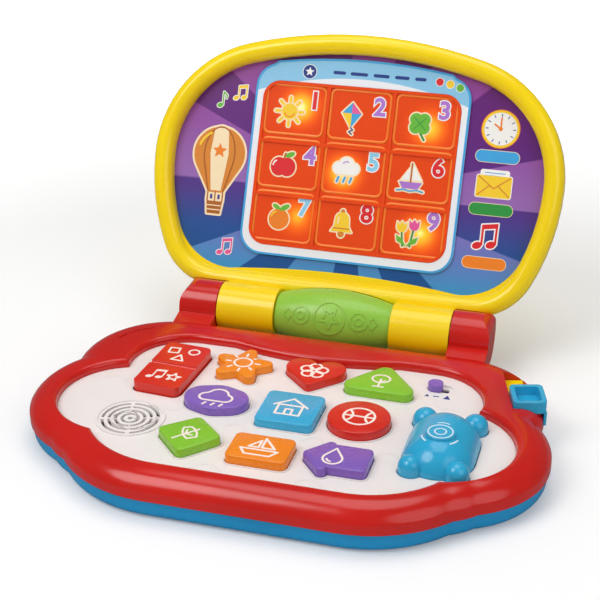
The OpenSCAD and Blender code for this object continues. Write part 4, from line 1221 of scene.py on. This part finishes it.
@dataclass
class BaseTrim:
    """Raised and printed trim of the case, its panel, the mouse, the speaker and the roller."""

    def mouse(self) -> None:
        """Print the rings on the mouse's disc."""
        rings = lines([disc(0, 0, 6.4, n=28), disc(0, 0, 3.0, n=20)], 0.8, True)
        rings += lines([arc(0, 0, 9.6, a, a + 36, 4) for a in (72, 192, 312)], 0.8)
        rings = placed(rings, 89.0, -42.0)
        Relief("mouse_rings", "mouse_button", MOUSE_INK, rings, 0.15, "mouse_button").build()

    def panel(self) -> None:
        """Emboss the panel: a ring, a swirl over the speaker, and soft waves between the keys."""
        # the swirl widens by 1.95 mm for each radian of its turns
        swirl = [polar(2.2 + 1.95 * a, math.degrees(a)) for a in (0.25 * i for i in range(31))]
        rings = placed(lines([disc(0, 0, 18.4, n=48)], 1.6, True) + lines([swirl], 1.5), -80, -48)
        Relief("speaker_swirl", "keyboard_panel", WHITE_ABS, rings, 0.7).build()
        waves = (
            ((-118, -20, 9, 60, 170, 10), (-104, -14, 7, 20, 150, 10), (-62, -28, 6, 200, 330, 8)),
            ((-16, -2, 5, 190, 350, 8), (22, -47, 6, 20, 160, 8), (63, -52, 7, 40, 180, 9)),
            ((-22, -45, 6, 10, 150, 8), (66, 8, 6, 100, 250, 8), (-24, -88, 8, 20, 160, 9)),
            ((30, -88, 8, 30, 150, 9), (82, 14, 6, 180, 300, 8), (112, -22, 8, 100, 220, 8)),
        )
        waves = lines([arc(*wave) for row in waves for wave in row], 1.3)
        Relief("panel_waves", "keyboard_panel", WHITE_ABS, waves, 0.12).build()
        # flat prints: two groups of dots on the deck, and the volume's marks
        small = [[(-1.4, -1.4), (1.4, -1.4), (0, 1.3)]]
        stars = [star(119.0, 43.0, 2.6), disc(124.0, 40.5, 1.5)]
        drops = [disc(117.0, 38.6, 1.7), placed([disc(0, 0, 2.2, 0.5)], 122.4, 45.6, 1, 40)[0]]
        marks = placed(small, 70.3, 20.4) + placed(small, 81.6, 20.6, 1.5)
        marks.insert(1, rounded_box(75.4, 20.2, 3.4, 0.9, 0.4))
        for name, node, ink, shapes in (
            ("deck_print_red", "label_deck", RED_INK, stars),
            ("deck_print_blue", "label_deck", SKY_INK, drops),
            ("volume_marks", "keyboard_panel", NAVY_INK, marks),
        ):
            Relief(name, node, ink, shapes, 0.06, slot="printed_card").build()

    def case(self) -> None:
        """Raise three short strokes on the left back lobe."""
        strokes = [arc(-92, 22, 27.5, a, a + 11, 5) for a in (116, 134, 152)]
        Relief("case_strokes", "top_housing", RED_ABS, lines(strokes, 2.2), 0.5, slot="red_shell").build()

    def roller(self) -> None:
        """Raise lozenges, rings and a star three times round the roller."""
        motif = [star(0, 0, 6.2), disc(0, 0, 9.4, n=28), disc(-18, 0, 5.2, n=20), disc(18, 0, 5.2, n=20)]
        motif += [disc(-18, 0, 2.2, n=12), disc(18, 0, 2.2, n=12)]
        motif += [[(-29, 0), (-26, 4), (-23.6, 0), (-26, -4)], [(29, 0), (26, 4), (23.6, 0), (26, -4)]]
        motif = lines(motif, 1.2, True)
        # the turns of the three, in radians
        drawn = [o for turn in (0.56, 2.65, 4.74) for o in placed(motif, 0, turn * ROLLER_R)]
        body, slot = "roller", "roller_green"
        Relief("roller_motifs", "roller", GREEN_ROLLER, drawn, 0.35, body, slot, Lay.ROUND).build()

    def build(self) -> None:
        """Build all trim of the base."""
        self.mouse()
        self.panel()
        self.case()
        self.roller()


# ---- Studio ----


@dataclass
class Studio:
    """Camera, floor and soft light.

    Args:
        eye: the camera's place, in millimetres.
        azimuth: the camera's bearing, in degrees to the right of the front.
        elevation: how far the camera looks down, in degrees.
        lens: focal length, in millimetres, on a 36 mm sensor.
        room: strength of the world's light.
        gloss: what is added to it for glossy faces.
    """

    eye: Corner = (187.4, -653.0, 412.6)
    azimuth: float = 15.83
    elevation: float = 26.06
    lens: float = 84.0
    room: float = 0.4
    gloss: float = -0.26

    def camera(self) -> None:
        """Set the camera up."""
        data = bpy.data.cameras.new("Camera")
        data.lens, data.sensor_width, data.sensor_fit = self.lens, 36.0, "HORIZONTAL"
        data.clip_start, data.clip_end = 0.05, 20.0
        camera = link(data, "Camera")
        camera.location = Vector(self.eye) * MM
        camera.rotation_euler = (math.radians(90 - self.elevation), 0.0, math.radians(self.azimuth))
        bpy.context.scene.camera = camera

    def seen_only(self, tree: Tree) -> Socket:
        """Give 1 for the rays that show the background, seen straight or through glass."""
        path = add_node(tree, "ShaderNodeLightPath").outputs
        return math_node(tree, "MAXIMUM", path["Is Camera Ray"], path["Is Transmission Ray"])

    def surroundings(self) -> None:
        """Build the world."""
        world = bpy.data.worlds.new("Studio")
        bpy.context.scene.world = world
        world.use_nodes = True
        tree = world.node_tree
        tree.nodes.clear()
        # glossy faces see a dimmer room than the camera does
        gloss = times(add_node(tree, "ShaderNodeLightPath").outputs["Is Glossy Ray"], self.gloss)
        level = math_node(tree, "ADD", gloss, self.room)
        dim = add_node(tree, "ShaderNodeBackground", {"Color": linear("#ffffff")}, {"Strength": level})
        white = add_node(tree, "ShaderNodeBackground", {"Color": linear("#ffffff"), "Strength": 1.0})
        shades = {0: self.seen_only(tree), 1: dim.outputs[0], 2: white.outputs[0]}
        mix = add_node(tree, "ShaderNodeMixShader", links=shades)
        add_node(tree, "ShaderNodeOutputWorld", links={0: mix.outputs[0]})

    def floor(self) -> None:
        """Lay a sweep of white paper, a little under the toy."""
        mesh = bmesh.new()
        bmesh.ops.create_grid(mesh, x_segments=1, y_segments=1, size=4000)
        floor = finished("Floor", mesh, Place((0, 0, -0.05)))
        material, tree, shader = new_material("Paper sweep white")
        gloss = add_node(tree, "ShaderNodeLightPath").outputs["Is Glossy Ray"]
        # painted light: from 0.35 m on, the light painted on the paper, seen straight or through glass,
        # rises from 0.16 to 0.96, so that it shows white
        point = add_node(tree, "ShaderNodeTexCoord").outputs["Object"]
        away = add_node(tree, "ShaderNodeVectorMath", {"operation": "LENGTH"}, {0: point}).outputs["Value"]
        far = times(math_node(tree, "SUBTRACT", away, 0.35), 1.2, clamp=True)
        painted_light = times(self.seen_only(tree), math_node(tree, "ADD", times(far, 0.8), 0.16))
        # painted shade: glossy faces see the paper dark grey, a painted darker reflection of it
        tone = ramp_node(gloss, [(0.0, "#f0f0f0"), (1.0, "#8c8c90")])
        values = {"Roughness": 0.6, "Emission Color": linear("#ffffff")}
        feed(shader, values, {"Base Color": tone, "Emission Strength": painted_light})
        floor.data.materials.append(material)

    def lights(self) -> None:
        """Hang the soft boxes."""
        for name, place, size, power in (
            ("Key", (-0.75, -0.75, 1.35), 1.0, 10.5),
            ("Fill", (1.1, -0.7, 0.9), 1.2, 4.0),
            ("Top", (0.0, 0.25, 1.7), 1.3, 8.5),
        ):
            data = bpy.data.lights.new(name, "AREA")
            data.shape, data.size, data.energy = "DISK", size, power
            lamp = link(data, name)
            lamp.location = place
            lamp.rotation_euler = (Vector((0, 0, 0.06)) - Vector(place)).to_track_quat("-Z", "Y").to_euler()

    def build(self) -> None:
        """Build the studio."""
        self.camera()
        self.surroundings()
        self.floor()
        self.lights()
        bpy.context.scene.view_settings.view_transform = "Standard"


def main() -> None:
    """Build and dress everything."""
    logging.basicConfig(level=logging.INFO, format="%(message)s")
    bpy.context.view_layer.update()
    for part in (Studio(), Mouldings(), LidArt(), WindowCells(), LidPrints(), KeyMarks(), BaseTrim()):
        part.build()


if __name__ == "__main__":
    main()
